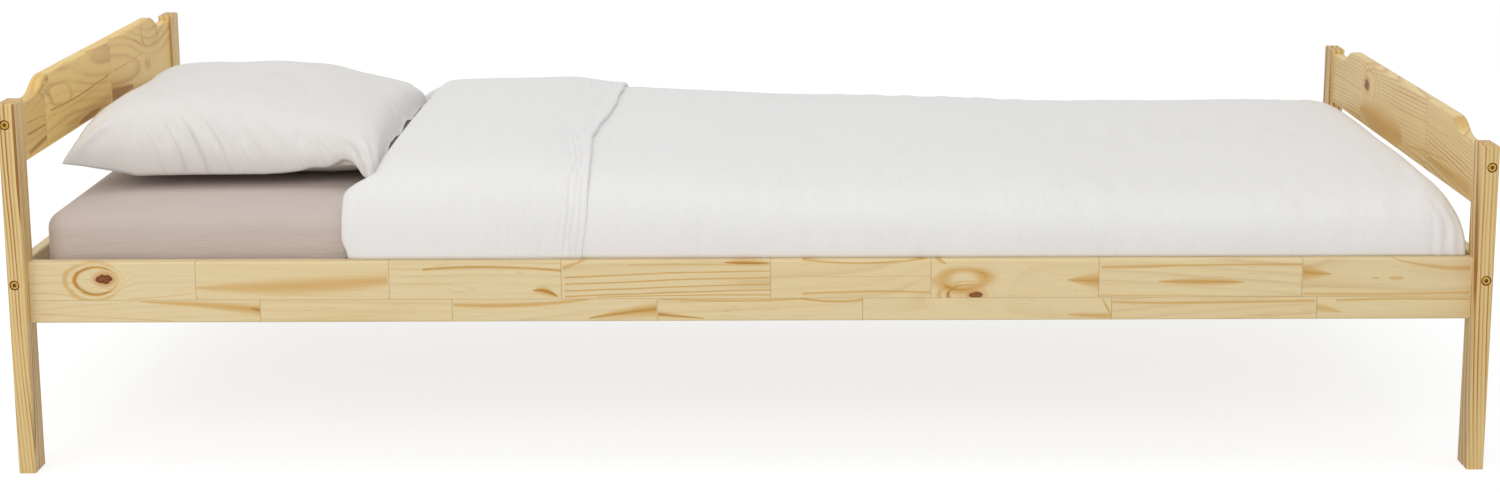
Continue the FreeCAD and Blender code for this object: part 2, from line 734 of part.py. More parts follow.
def pillow_form(inset):
    """The pillow, drawn in along its long sides and thin at its two ends, moved inwards by an inset."""
    head = -float(size.mattress_length) / 2
    tip_inset = inset * TIP_INSET_SHARE
    left = head + float(size.pillow_head_gap) + tip_inset
    right = head + float(size.pillow_head_gap + size.pillow_width) - tip_inset
    sole = float(sheet_top + size.bedding_clear)
    seam = sole + float(size.pillow_seam)
    crown = sole + float(size.pillow_height) - inset
    sole += inset
    lip = float(size.pillow_lip) - inset
    half = float(size.pillow_length) / 2 - tip_inset
    draw = float(size.pillow_draw)
    stations = [-share for share in reversed(PILLOW_STATION_SHARES[1:])] + list(PILLOW_STATION_SHARES)
    sections = []
    for share in stations:
        crown_share = math.sqrt(1 - abs(share) ** PILLOW_CROWN_POWER)
        sole_share = math.sqrt(1 - abs(share) ** PILLOW_SOLE_POWER)
        pull = draw * (1 - share ** 2)
        top = seam + lip + (crown - seam - lip) * crown_share
        bottom = seam - lip - (seam - lip - sole) * sole_share
        sections.append(pillow_section(half * share, left + pull, right - pull, seam, top, bottom))
    return Part.makeLoft(sections, True, True)


def mattress_space(gap):
    """The room that the sheeted mattress takes up, with a gap round it."""
    grow = float(sheet_wall) + gap
    half_x = float(size.mattress_length) / 2 + grow
    half_y = float(size.mattress_width) / 2 + grow
    bottom = float(sheet_bottom)
    block = Part.makeBox(2 * half_x, 2 * half_y, float(sheet_top) + gap - bottom,
                         FreeCAD.Vector(-half_x, -half_y, bottom))
    block = block.makeFillet(float(size.mattress_corner) + grow,
                             [edge for edge in block.Edges if is_along(edge, "z")])
    top = float(sheet_top) + gap
    return block.makeFillet(float(size.mattress_edge) + grow,
                            [edge for edge in block.Edges if edge.BoundBox.ZMin > top - SAME_PLACE])


def duvet_section(x, half, hem, shoulder, crown, bulge):
    """A cross-section of the duvet: flat hem line, a bulging side, the crown and the other side."""
    inner = half - float(size.duvet_shoulder)
    waist = (hem + shoulder) / 2
    front_hem, back_hem = (x, -half, hem), (x, half, hem)
    front_shoulder, back_shoulder = (x, -inner, shoulder), (x, inner, shoulder)
    return Part.Wire([
        line(front_hem, back_hem),
        arc(back_hem, (x, half + bulge, waist), back_shoulder),
        arc(back_shoulder, (x, 0, crown), front_shoulder),
        arc(front_shoulder, (x, -half - bulge, waist), front_hem),
    ])


def duvet_form(inset):
    """The duvet over the mattress: a turned edge, a doubled length up to its hem, and a rounded foot."""
    head = -float(size.mattress_length) / 2
    turn_start = head + float(size.pillow_head_gap + size.pillow_width + size.duvet_room)
    turn_end = turn_start + float(size.duvet_turn) - inset
    fold = turn_start + inset
    clear = float(size.bedding_clear)
    foot = -head + float(sheet_wall + size.duvet_foot) + clear - inset
    half = float(size.mattress_width) / 2 + float(sheet_wall + size.duvet_side) + clear - inset
    hem = float(rail_top) + clear + inset
    base = float(sheet_top) + clear
    brow = base - float(size.mattress_edge)
    edge, loft = float(size.duvet_edge_loft) - inset, float(size.duvet_loft) - inset
    rise = float(size.duvet_turn_rise)
    bulge = float(size.duvet_bulge)
    nose, round_foot = float(size.duvet_nose), float(size.duvet_foot_round)
    corner, end_rise = float(size.duvet_corner), float(size.duvet_end_rise)
    sections = []
    for share in NOSE_STATION_SHARES:
        swell = NOSE_START_SHARE + (1 - NOSE_START_SHARE) * math.sqrt(1 - (1 - share) ** 2)
        shoulder = base + (edge + rise) * swell
        crown = base + (loft + rise) * swell
        sections.append(duvet_section(fold + nose * share, half, hem, shoulder, crown, bulge))
    step = turn_end - float(size.duvet_hem_step)
    sections.append(duvet_section(step, half, hem, base + edge + rise, base + loft + rise, bulge))
    sections.append(duvet_section(turn_end, half, hem, base + edge, base + loft, bulge))
    for share in FOOT_STATION_SHARES:
        x = foot - round_foot * (1 - share)
        drop = math.sqrt(1 - share ** 2)
        shoulder = brow + (base - brow + edge * FOOT_LOFT_SHARE) * drop
        crown = brow + end_rise + (base - brow + loft * FOOT_LOFT_SHARE - end_rise) * drop
        past = max(0, 1 - (foot - x) / corner)
        width = half - corner * (1 - math.sqrt(1 - past ** 2))
        sink = inset * (1 - drop)
        bow = bulge * drop + end_rise
        sections.append(duvet_section(x, width, hem, shoulder - sink, crown - sink, bow))
    return Part.makeLoft(sections, True, True).cut(mattress_space(clear + inset))


def make_soft_pair(form, cloth, cover_node, filling_node):
    """A cover of cloth and, inside it, its filling."""
    wall = float(cloth)
    cover = doc.addObject("Part::Feature", cover_node)
    cover.Shape = form(0).cut(form(wall))
    keep(cover, cover_node)
    filling = doc.addObject("Part::Feature", filling_node)
    filling.Shape = form(wall + float(size.bedding_clear))
    keep(filling, filling_node)


for end_sign in (HEAD, FOOT):
    for side_sign in (FRONT, BACK):
        make_post(end_sign, side_sign)
    make_panel(end_sign)
    make_cross_rail(end_sign)
for side_sign in (FRONT, BACK):
    make_side_rail(side_sign)
    make_ledger(side_sign)
for slat_number, slat_x in enumerate(slat_places(), start=1):
    make_slat(slat_number, slat_x)
make_end_fasteners()
make_rail_fasteners()
make_screws()
make_mattress()
make_soft_pair(pillow_form, size.pillowcase_cloth, "pillowcase", "pillow_filling")
make_soft_pair(duvet_form, size.duvet_cloth, "duvet_cover", "duvet_filling")

doc.recompute()
for item in doc.Objects:
    if "Invalid" in item.State or "Error" in item.State:
        raise RuntimeError(f"{item.Label} could not be built: {item.State}")
for piece in parts:
    if piece.Shape.isNull() or not piece.Shape.isValid():
        raise RuntimeError(f"{piece.Label} has no valid shape")
os.makedirs("parts", exist_ok=True)
for piece in parts:
    piece.Shape.exportStep(f"parts/{piece.Label}.step")
    print(piece.Label, len(piece.Shape.Solids), round(piece.Shape.Volume))
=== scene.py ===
"""Dresses the single bed: pine finishes on the frame, and its mattress, fitted sheet, pillow and duvet."""
import math

import bmesh
import bpy
import numpy as np
from bpy.props import FloatProperty, FloatVectorProperty, IntProperty, PointerProperty
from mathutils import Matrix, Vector


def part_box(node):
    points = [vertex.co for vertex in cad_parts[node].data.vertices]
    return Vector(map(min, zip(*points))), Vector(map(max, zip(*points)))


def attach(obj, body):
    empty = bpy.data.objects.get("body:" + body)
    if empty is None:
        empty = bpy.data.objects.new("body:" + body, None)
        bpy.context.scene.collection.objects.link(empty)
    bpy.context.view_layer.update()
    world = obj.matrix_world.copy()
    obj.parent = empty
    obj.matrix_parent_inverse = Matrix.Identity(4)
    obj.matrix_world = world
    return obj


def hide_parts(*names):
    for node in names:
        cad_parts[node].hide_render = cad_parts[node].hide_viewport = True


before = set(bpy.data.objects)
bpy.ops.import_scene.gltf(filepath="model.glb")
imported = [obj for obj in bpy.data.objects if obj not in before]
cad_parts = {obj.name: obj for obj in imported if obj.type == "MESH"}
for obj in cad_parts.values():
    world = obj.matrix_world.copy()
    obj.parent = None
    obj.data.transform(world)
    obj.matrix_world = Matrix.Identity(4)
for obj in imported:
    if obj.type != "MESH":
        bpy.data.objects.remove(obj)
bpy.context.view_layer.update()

bl_info = {
    "name": "Single bed",
    "version": (1, 0, 0),
    "blender": (4, 5, 0),
    "location": "View3D > Sidebar > Single bed",
    "description": "Finishes and bedding for a pine single bed, round its packed frame",
    "category": "Object",
}

MM = 0.001


def tint(red, green, blue):
    """Turns a colour from 0 to 255 as a screen shows it into the linear values that a shader takes."""
    screen = np.array([red, green, blue]) / 255
    linear = np.where(screen <= 0.04045, screen / 12.92, ((screen + 0.055) / 1.055) ** 2.4)
    return tuple(float(value) for value in linear)


def low(node):
    return np.array(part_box(node)[0])


def high(node):
    return np.array(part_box(node)[1])


# Settings that a user would change


def colour(name, description, default):
    return FloatVectorProperty(
        name=name, description=description, subtype="COLOR", size=3, min=0, max=1, default=default
    )


def length(name, description, default, most=3.0):
    return FloatProperty(
        name=name, description=description, unit="LENGTH", min=0, max=most, default=default
    )


def share(name, description, default, most=1.0):
    return FloatProperty(
        name=name, description=description, subtype="FACTOR", min=0, max=most, default=default
    )


def watts(name, description, default):
    return FloatProperty(
        name=name, description=description, subtype="POWER", min=0, max=3000, default=default
    )


class PineSettings(bpy.types.PropertyGroup):
    early: colour("Early wood", "Pale wood between the rings", tint(229, 209, 163))
    ripe: colour("Ripe wood", "Pale wood of the posts", tint(229, 200, 138))
    gold: colour("Golden wood", "Pale wood of the head panel", tint(241, 208, 128))
    straw: colour("Straw wood", "Pale wood of the foot panel", tint(232, 205, 146))
    late: colour("Late wood", "Darker line at the end of each ring", tint(186, 143, 84))
    amber: colour("Amber", "Resin-stained patches", tint(208, 163, 88))
    knot: colour("Knot", "Heart of a knot", tint(108, 50, 10))
    glue: colour("Glue line", "Thin line where two blocks meet", tint(150, 114, 70))
    ring: length("Ring width", "Distance from one growth ring to the next", 9 * MM, 0.05)
    contrast: share("Ring contrast", "How strongly the late wood shows", 0.80)


class MetalSettings(bpy.types.PropertyGroup):
    yellow: colour("Yellow bolts", "Yellow passivated steel", tint(206, 164, 82))
    zinc: colour("Zinc", "Zinc-plated nuts and screws", tint(186, 189, 192))
    beech: colour("Beech", "Fluted dowels", tint(214, 176, 128))


class SheetSettings(bpy.types.PropertyGroup):
    taupe: colour("Jersey", "Taupe cotton jersey", tint(199, 184, 175))
    ticking: colour("Ticking", "Off-white mattress cover", tint(226, 221, 210))
    seam: length("Seam height", "Height of the dart seam at each corner", 1.6 * MM, 0.01)
    ripple: length("Ripple", "Height of the soft waves in the sheet", 0.9 * MM, 0.01)


class PillowSettings(bpy.types.PropertyGroup):
    cotton: colour("Cotton", "White crinkled cotton", tint(228, 225, 222))
    pressure: FloatProperty(
        name="Filling", description="Pressure that fills the case", min=0, max=40, default=4.0
    )
    spare: share("Spare cloth", "How much larger the cloth is than the filling", 0.035)
    frames: IntProperty(
        name="Frames", description="Steps of the filling simulation", min=2, max=60, default=20
    )
    seat: length("Seat", "Height of the seam over the mattress", 53 * MM, 0.2)
    crease: length("Creases", "Height of the puckers and gathers", 1.5 * MM, 0.01)


class DuvetSettings(bpy.types.PropertyGroup):
    cotton: colour("Cotton", "White crinkled cotton", tint(233, 232, 231))
    loft: length("Loft", "Thickness over the middle of the mattress", 62 * MM, 0.2)
    turned: length("Turned back", "Extra thickness where the head end is turned back", 17.5 * MM, 0.1)
    puff: length("Puffs", "Height of the broad waves", 1.3 * MM, 0.03)
    crease: length("Creases", "Height of the small cross creases", 0.8 * MM, 0.01)
    gather: length("Gathers", "Height of the gathers beside the hem", 1.3 * MM, 0.01)


class StageSettings(bpy.types.PropertyGroup):
    room: share("Room light", "Strength of the even light", 0.62, 3.0)
    key: watts("Front light", "Power of the front light", 88)
    top: watts("Top light", "Power of the top light", 24)
    floor_shade: share("Floor shade", "How much of the floor's look is its own shadow", 0.36)
    floor_white: share("Floor white", "How much of the floor's look is plain white", 0.765)


# Materials


def method(operation, swapped=False):
    """A method that adds one Math node; swapped puts the wire itself last, for the right side of a sum."""

    def run(self, *others):
        return self.maths(operation, *((*others, self) if swapped else (self, *others)))

    return run


class Wire:
    """One output of a node; arithmetic on wires adds Math nodes to the same tree."""

    def __init__(self, socket):
        self.socket = socket

    def maths(self, operation, *values):
        return add_node(self.socket.id_data, "Math", {"operation": operation}, dict(enumerate(values)))

    __add__ = __radd__ = method("ADD")
    __mul__ = __rmul__ = method("MULTIPLY")
    __sub__ = method("SUBTRACT")
    __rsub__ = method("SUBTRACT", True)
    __truediv__ = method("DIVIDE")
    __pow__ = method("POWER")
    __gt__ = method("GREATER_THAN")
    root = method("SQRT")
    exp = method("EXPONENT")
    fract = method("FRACT")
    floor = method("FLOOR")
    size = method("ABSOLUTE")
    largest = method("MAXIMUM")
    smallest = method("MINIMUM")

    def rise(self, start, end):
        """0 up to start, 1 from end on, with a smooth step between them."""
        return add_node(
            self.socket.id_data,
            "MapRange",
            {"interpolation_type": "SMOOTHSTEP"},
            {"Value": self, "From Min": start, "From Max": end},
        )

    def out(self, name):
        return Wire(self.socket.node.outputs[name])


def add_node(tree, kind, settings, sockets, output=0):
    """Adds a node of this type: its settings first, then the value or link of each socket.
    Gives one of its outputs, or nothing where it has none."""
    node = tree.nodes.new("ShaderNode" + kind)
    for key, value in settings.items():
        if key == "stops":
            stops = node.color_ramp.elements
            while len(stops) < len(value):
                stops.new(1)
            for stop, (place, shade) in zip(stops, value):
                stop.position = place
                stop.color = shade
        elif key == "ramp":
            node.color_ramp.interpolation = value
        else:
            setattr(node, key, value)
    for key, value in sockets.items():
        if isinstance(value, Wire):
            tree.links.new(value.socket, node.inputs[key])
        else:
            node.inputs[key].default_value = value
    return Wire(node.outputs[output]) if len(node.outputs) else None


class Finish:
    """A material on one Principled shader, built up node by node."""

    def __init__(self, name):
        self.material = bpy.data.materials.new(name)
        self.material.use_nodes = True
        self.tree = self.material.node_tree
        self.tree.nodes.clear()
        surface = self.node("BsdfPrincipled")
        self.shader = surface.socket.node
        self.node("OutputMaterial", {}, {"Surface": surface})

    def node(self, kind, settings={}, sockets={}, output=0):
        return add_node(self.tree, kind, settings, sockets, output)

    def place(self):
        return self.node("TexCoord", output="Object")

    def split(self, vector):
        x = self.node("SeparateXYZ", {}, {0: vector})
        return x, x.out("Y"), x.out("Z")

    def vector(self, operation, *values):
        return self.node("VectorMath", {"operation": operation}, dict(enumerate(values)))

    def noise(self, vector, detail=2.0, rough=0.5, scale=1.0):
        """Noise over a vector, with one scale for all its axes or one for each."""
        if isinstance(scale, tuple):
            vector, scale = self.vector("MULTIPLY", vector, scale), 1.0
        return self.node(
            "TexNoise", {}, {"Vector": vector, "Scale": scale, "Detail": detail, "Roughness": rough}
        )

    def ramp(self, value, stops, ramp="LINEAR"):
        """A value's own curve: stops are (place, height)."""
        return self.node(
            "ValToRGB",
            {"ramp": ramp, "stops": [(p, (h, h, h, 1)) for p, h in stops]},
            {"Fac": value},
        )

    def mix(self, amount, one, other, blend="MIX"):
        one, other = ((*c, 1) if isinstance(c, tuple) else c for c in (one, other))
        return self.node(
            "Mix",
            {"data_type": "RGBA", "blend_type": blend, "clamp_factor": True},
            {0: amount, 6: one, 7: other},
            2,
        )

    def bump(self, height, strength, distance, under=None):
        sockets = {"Height": height, "Strength": strength, "Distance": distance}
        if under is not None:
            sockets["Normal"] = under
        return self.node("Bump", {}, sockets)

    def wear(self, **sockets):
        """Sets the shader's sockets by name: a link for what varies, a plain value for what does not."""
        for key, value in sockets.items():
            socket = self.shader.inputs[key.replace("_", " ")]
            if isinstance(value, Wire):
                self.tree.links.new(value.socket, socket)
            else:
                socket.default_value = (*value, 1) if isinstance(value, tuple) else value
        return self.material


def plain(vector):
    return tuple(float(value) for value in vector)


def times(shade, *factors):
    """A colour with its values multiplied, each by its own factor or all by one."""
    return plain(np.array(shade) * factors)


# The frame's pine: each board is glued up from blocks, and every block has its own rings

RING_CURVE = [(0.0, 0.40), (0.08, 0.08), (0.42, 0.04), (0.66, 0.32), (0.86, 0.95), (0.95, 1.0), (1.0, 0.40)]


def pine(
    name, node, order, strips=((),), divide=None, knots=(), marks=(),
    seed=0, heart=0.07, shade="early", figure=1.0, pitch=1.0,
):
    """Pine for one board. Order names the axes along the grain, across the wide face and through the board.
    Strips list where the blocks of each strip meet, and divide is where two strips meet.
    Every block has a heart line beside the board, and a ring is a step in the distance from that line:
    distance = root((across - heart across - drift * along) ^ 2 + (depth - heart depth) ^ 2), bent by noise.
    A knot adds exp(-d ^ 2) of its own distance d to it, so that the rings close round the knot.
    Knots are (along, across, half length, half width, darkness, lean); a negative darkness makes a pale eye
    whose ring is that share of it wide. Knots and marks stay in the strip that they start in.
    Marks are resin lines and stains, in millimetres: (along, across) of both ends, then bow,
    half width at both ends and swell, and last the depth of their colour, from 0 to 1:
    line = across + 4 bow t (1 - t), half width = first + (last - first) t + 4 swell t (1 - t)."""
    wood = bpy.context.scene.bed_pine
    finish = Finish(name)
    axes = ["XYZ".index(a) for a in order]
    lowest, highest = low(node), high(node)
    half = (highest - lowest) / 2
    middle = [float((lowest + highest)[a] / 2) for a in axes]
    place = finish.place()
    xyz = finish.split(place)
    along, across, deep = (xyz[a] - middle[i] for i, a in enumerate(axes))

    def stretched(vector, per_along, per_across):
        scale = [per_across] * 3
        scale[axes[0]] = per_along
        return finish.vector("MULTIPLY", vector, tuple(scale))

    def blocks(edges, first):
        """Number of the block that a point is in, and its distance to the nearest glue line."""
        number, near = first, 1.0
        for edge in edges:
            step = along - (edge - middle[0])
            number = number + (step > 0)
            near = step.size().smallest(near)
        return number, near

    number, near = blocks(strips[0], 3.0 * seed)
    if divide is not None:
        height = across - (divide - middle[1])
        upper = height > 0
        other, other_near = blocks(strips[1], 3.0 * seed + 20.0)
        number = number + (other - number) * upper
        near = (near + (other_near - near) * upper).smallest(height.size() * 1.6)
    chosen = finish.node("TexWhiteNoise", {"noise_dimensions": "1D"}, {"W": number}, "Color")
    fourth = chosen.out("Value")
    red, green, blue = finish.split(chosen)
    own = finish.vector("MULTIPLY_ADD", chosen, (7.0, 5.0, 6.0), place)

    broad = finish.noise(stretched(own, 1.7, 9.0), 2.0) - 0.5
    fine = finish.noise(stretched(own, 7.0, 42.0), 2.0) - 0.5
    streak = finish.noise(stretched(own, 16.0, 900.0), 3.0, 0.6)
    fade = finish.noise(stretched(own, 5.0, 26.0), 1.0)

    drift = (blue - 0.5) * 0.13
    side = across - (red - 0.5) * 2 * heart - drift * along
    beside = green * (55 * MM) + float(half[axes[2]]) + 4 * MM
    depth = deep - beside - (fourth - 0.5) * 0.09 * along
    ring = (side * side + depth * depth).root() + broad * (22 * MM) + fine * (3 * MM)

    core = inside = halo = stain = None

    def most(one, other):
        return other if one is None else one.largest(other)

    def kept(mask, height):
        """The mask, but only in the strip that the height is in."""
        if divide is None:
            return mask
        return mask * (upper if height > divide else 1 - upper)

    for at, height, long, wide, dark, lean in knots:
        from_it = along - (at - middle[0])
        away_long = from_it / long
        away_wide = (across - (height - middle[1]) - from_it * lean) / wide
        away = (away_long * away_long + away_wide * away_wide).root() + fine * 1.1
        ring = ring + (away * away * -0.16).exp() * (2.6 * wood.ring)
        if dark > 0:
            chips = finish.noise(own, 2.0, scale=(150.0, 150.0, 150.0))
            ragged = away + (chips - 0.5) * 1.1
            core = most(core, kept((1 - ragged.rise(0.78, 1.0)) * dark, height))
            inside = most(inside, 1 - ragged.rise(0.35, 0.75))
            halo = most(halo, kept((1 - away.rise(0.85, 2.1)) * (0.75 * dark), height))
            broken = (fade.rise(0.30, 0.60) * 0.6 + 0.4) * (1 - away_long.rise(0.3, 2.4) * 0.8)
            for far, strong in ((2.5, 0.70), (3.4, 0.45)):
                band = 1 - (away + away_long * 0.35 + broad * 2.4 - far).size().rise(0.05, 0.40)
                stain = most(stain, kept(band * broken * strong, height))
        else:
            band = 1 - (away - 1 + broad * 0.6).size().rise(0.0, -dark)
            stain = most(stain, kept(band * (fade.rise(0.30, 0.60) * 0.35 + 0.3), height))

    wobbled = across + fine * (4 * MM)
    for *sizes, depth_of_it in marks:
        at, height, to, to_height, bow, first, last, swell = (size * MM for size in sizes)
        t = (along - (at - middle[0])) / (to - at)
        arch = t * (1 - t) * 4
        line = t * (to_height - height) + arch * bow + (height - middle[1])
        width = t * (last - first) + arch * swell + first
        soft = 1 - ((wobbled - line).size() / width).rise(0.05, 1.35)
        stain = most(stain, kept(soft * t.maths("COMPARE", t, 0.5, 0.5) * depth_of_it, height))

    count = ring / ((fourth * 0.9 + 0.55) * (wood.ring * pitch))
    line = finish.ramp(count.fract(), RING_CURVE)
    strength = finish.node("TexWhiteNoise", {"noise_dimensions": "1D"}, {"W": count.floor() + red * 61.0})
    line = line * (strength * 0.7 + 0.3) * (fade.rise(0.25, 0.70) * 0.7 + 0.3) * (green * 0.45 + 0.55)

    pale = tuple(getattr(wood, shade))
    late = np.array(wood.late) * pale / np.array(wood.early)
    late = plain(late * (1 - max(figure - 1, 0) * np.array((0.19, 0.27, 0.32))))
    base = finish.mix((fourth - 0.35) * 0.5, pale, times(pale, 0.98, 0.93, 0.84))
    base = finish.mix((blue - 0.55) * 0.55, base, times(pale, 0.96, 0.90, 0.86))
    base = finish.mix(line * (wood.contrast * figure), base, late)
    base = finish.mix((streak - 0.5).rise(-0.10, 0.35) * 0.20, base, times(wood.late, 1.05))
    patch = finish.noise(stretched(own, 4.2, 17.0), 1.0).rise(0.60, 0.83) * (0.42 if not marks else 0.22)
    base = finish.mix(patch, base, tuple(wood.amber))
    fleck = finish.noise(stretched(own, 45.0, 560.0), 0.0).rise(0.74, 0.84)
    base = finish.mix(fleck * 0.16, base, times(wood.late, 0.55))
    if stain is not None:
        stain = stain * (fade.rise(0.15, 0.55) * 0.35 + 0.95) * (streak * 0.4 + 0.95)
        base = finish.mix(stain, base, tuple(wood.amber))
        base = finish.mix(stain.rise(0.82, 1.12) * 0.85, base, times(wood.amber, 0.60, 0.46, 0.25))
    if core is not None:
        base = finish.mix(halo, base, times(wood.amber, 0.90, 0.78, 0.66))
        grain = finish.noise(own, 2.0, 0.6, scale=(300.0, 300.0, 300.0))
        lighter = times(wood.knot, 1.6, 2.4, 5.0)
        heartwood = finish.mix(grain.rise(0.30, 0.60) * inside, tuple(wood.knot), lighter)
        base = finish.mix(core, base, heartwood)
    facing = finish.split(finish.node("TexCoord", output="Normal"))[axes[0]].size()
    end_grain = facing.rise(0.55, 0.9)
    base = finish.mix(end_grain * (line * 0.75 + 0.20), base, times(wood.late, 0.74, 0.62, 0.50))
    relief = streak * 0.5 - line * 0.35
    if strips[0]:
        joint = 1 - near.rise(0.25 * MM, 0.85 * MM)
        base = finish.mix(joint * 0.52, base, tuple(wood.glue))
        relief = relief - joint * 1.2
    return finish.wear(
        Base_Color=base,
        Roughness=0.46 + streak * 0.12 - line * 0.06 + end_grain * 0.2,
        Normal=finish.bump(relief, 0.22, 0.5 * MM),
        Specular_IOR_Level=0.3,
        Coat_Weight=0.10,
        Coat_Roughness=0.32,
    )


SLAT_PITCH = 135 * MM
SLAT_RING = 7.5 * MM
COUNT_FROM = 40.0


def slat_pine():
    """Sawn pine for slats and ledgers: rings as in the boards, and each slat's own draw by its place.
    Slats are counted from well before the head end, so that every number is positive."""
    wood = bpy.context.scene.bed_pine
    finish = Finish("sawn_pine")
    place = finish.place()
    x, y, z = finish.split(place)
    number = (x / SLAT_PITCH + COUNT_FROM + 0.5).floor()
    draw = finish.node("TexWhiteNoise", {"noise_dimensions": "1D"}, {"W": number}, "Color")
    red, green, blue = finish.split(draw)
    own = finish.vector("MULTIPLY_ADD", draw, (9.0, 5.0, 7.0), place)
    broad = finish.noise(own, 2.0, scale=(11.0, 1.8, 11.0)) - 0.5
    streak = finish.noise(own, 3.0, 0.6, scale=(800.0, 18.0, 800.0))
    side = x - (number - COUNT_FROM) * SLAT_PITCH - (red - 0.5) * 0.16 - (blue - 0.5) * 0.12 * y
    depth = z - 0.20 + green * 0.05
    ring = (side * side + depth * depth).root() + broad * 0.02
    line = finish.ramp((ring / SLAT_RING).fract(), RING_CURVE)
    base = finish.mix(line * 0.5, tuple(wood.early), tuple(wood.late))
    base = finish.mix((streak - 0.5).rise(-0.1, 0.35) * 0.25, base, times(wood.late, 0.95))
    base = finish.mix((blue - 0.4) * 0.5, base, times(wood.early, 0.95, 0.90, 0.82))
    return finish.wear(
        Base_Color=base,
        Roughness=0.6 + streak * 0.15,
        Normal=finish.bump(streak, 0.3, 0.5 * MM),
    )


def give(node, material):
    """Puts one finish in every material slot of a CAD node."""
    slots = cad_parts[node].material_slots
    for slot in slots:
        slot.material = material
    if not len(slots):
        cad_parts[node].data.materials.append(material)


# Where the blocks of the rails and the panels meet, and their knots, in metres; their marks, in millimetres
RAIL_DIVIDE = 0.247
FRONT_LOWER = (-0.691, -0.420, -0.130, 0.160, 0.511, 0.800)
FRONT_UPPER = (-0.781, -0.508, -0.265, 0.030, 0.256, 0.492, 0.778)
FRONT_KNOTS = (
    (-0.910, 0.2770, 0.0105, 0.0075, 1.0, 0.0),
    (0.319, 0.2515, 0.0090, 0.0050, 0.9, 0.0),
    (0.302, 0.2745, 0.0290, 0.0150, -0.70, 0.0),
)
FRONT_MARKS = (
    *((-260, height, 29, height + 9, 1, 1.4, 1, 0, 0.65) for height in (250, 258, 268, 278)),
    (-780, 265, -510, 275, -4, 2, 10, 7, 0.50),
    (-1015, 258, -940, 249, 3, 1, 1, 0, 0.40),
    (-875, 249, -785, 256, -1, 1, 1, 0, 0.35),
    (-460, 290, -265, 287, 5, 2.5, 2.5, 0, 0.65),
    (-305, 259, -270, 250, 4, 1, 1, 6, 0.75),
    (-262, 291, -225, 305, 0, 4, 1, 0, 0.55),
    (-215, 249, 29, 252, 1, 1, 1.5, 0, 0.60),
    (-170, 295, 29, 295, 1, 1, 1, 0, 0.45),
    (-35, 299, 29, 298, 0, 1, 1, 4, 0.70),
    (75, 302, 255, 304, -5, 2, 1.5, 0, 0.60),
    (75, 254, 255, 254, 2, 2, 2, 0, 0.55),
    (75, 279, 255, 279, -1, 1, 1, 0, 0.30),
    (260, 306, 277, 297, 0, 5, 1.5, 0, 0.70),
    (258, 271, 310, 264, -1, 9, 2, 0, 0.40),
    (447, 273, 492, 271, 0, 0.5, 14, 0, 0.62),
    (495, 290, 605, 293, -1, 2, 2, 0, 0.60),
    (495, 291, 777, 294, 1, 2, 2, 0, 0.55),
    (575, 269, 697, 269, 0, 0.5, 0.5, 5.5, 0.62),
    (495, 251, 777, 248, -1, 1.5, 1.5, 0, 0.35),
    (779, 282, 820, 279, 0, 14, 0.5, 0, 0.62),
    (875, 274, 887, 274, 0, 0.5, 0.5, 1, 0.55),
    (900, 274, 921, 274, 0, 1, 1, 3, 0.45),
    (905, 301, 1014, 288, -4, 1, 5, 0, 0.50),
    (780, 251, 1014, 252, -1, 3, 3, 0, 0.45),
    (-860, 244, -692, 232, 2, 1, 9, 0, 0.60),
    (-706, 236, -692, 232, 0, 1.5, 10, 0, 0.70),
    (-1014, 228, -815, 216, 0, 1, 1, 0, 0.35),
    (-418, 239, -217, 248, -5, 3, 1, 2, 0.60),
    (-227, 219, -131, 231, 1, 1, 11, 0, 0.70),
    (-129, 224, -65, 218, 0, 4.5, 1, 0, 0.70),
    (-126, 246, 73, 246, -3, 2, 2, 0, 0.55),
    (73, 246, 160, 244, -3, 2, 2, 0, 0.65),
    (450, 222, 510, 220, 0, 1, 4, 1.5, 0.55),
    (497, 246, 512, 219, 0, 1.5, 1, 3, 0.60),
    (512, 240, 797, 241, -1, 2, 2, 0, 0.58),
    (800, 231, 835, 225, 0, 8, 1.5, 0, 0.50),
    (827, 241, 1014, 243, 2, 2, 2, 0, 0.55),
)
BACK_LOWER = (-0.610, -0.255, 0.045, 0.330, 0.690)
BACK_UPPER = (-0.830, -0.470, -0.140, 0.215, 0.560, 0.870)
BACK_KNOTS = ((0.400, 0.2700, 0.0100, 0.0070, 0.9, 0.0),)
HEAD_BLOCKS = (-0.330, 0.044)
HEAD_KNOTS = (
    (-0.255, 0.5105, 0.080, 0.0185, -0.22, -0.17),
    (0.300, 0.5230, 0.050, 0.0215, -0.20, -0.15),
)
HEAD_MARKS = (
    (-450, 495, -330, 495, 0, 60, 60, 0, 0.38),
    (-305, 490, 30, 493, -3.5, 1.5, 1.5, 0, 0.95),
    (-290, 480, 25, 488, -4, 1, 1, 0, 0.55),
    (-155, 446, -25, 449, 0, 1, 1, 7, 1.00),
    (-225, 454, 38, 454, 0, 2, 11, 4, 0.50),
    (46, 456, 180, 451, 0, 19, 4, 0, 1.00),
    (60, 494, 255, 496, -1, 1, 1, 0, 0.75),
    (265, 475, 305, 470, 0, 9, 9, 2, 0.55),
    (-420, 492, -331, 488, 0, 2, 2, 0, 0.80),
    (-420, 475, -331, 475, 0, 3, 2, 0, 0.90),
    (-420, 448, -331, 456, 0, 6, 7, 0, 0.75),
    (-326, 540, -307, 538, 0, 9, 9, 0, 0.70),
    (-95, 546, 35, 541, 0, 2, 2.5, 0, 0.60),
)
FOOT_BLOCKS = (-0.180,)
FOOT_KNOTS = ((0.201, 0.4413, 0.015, 0.0105, 1.0, 0.0),)
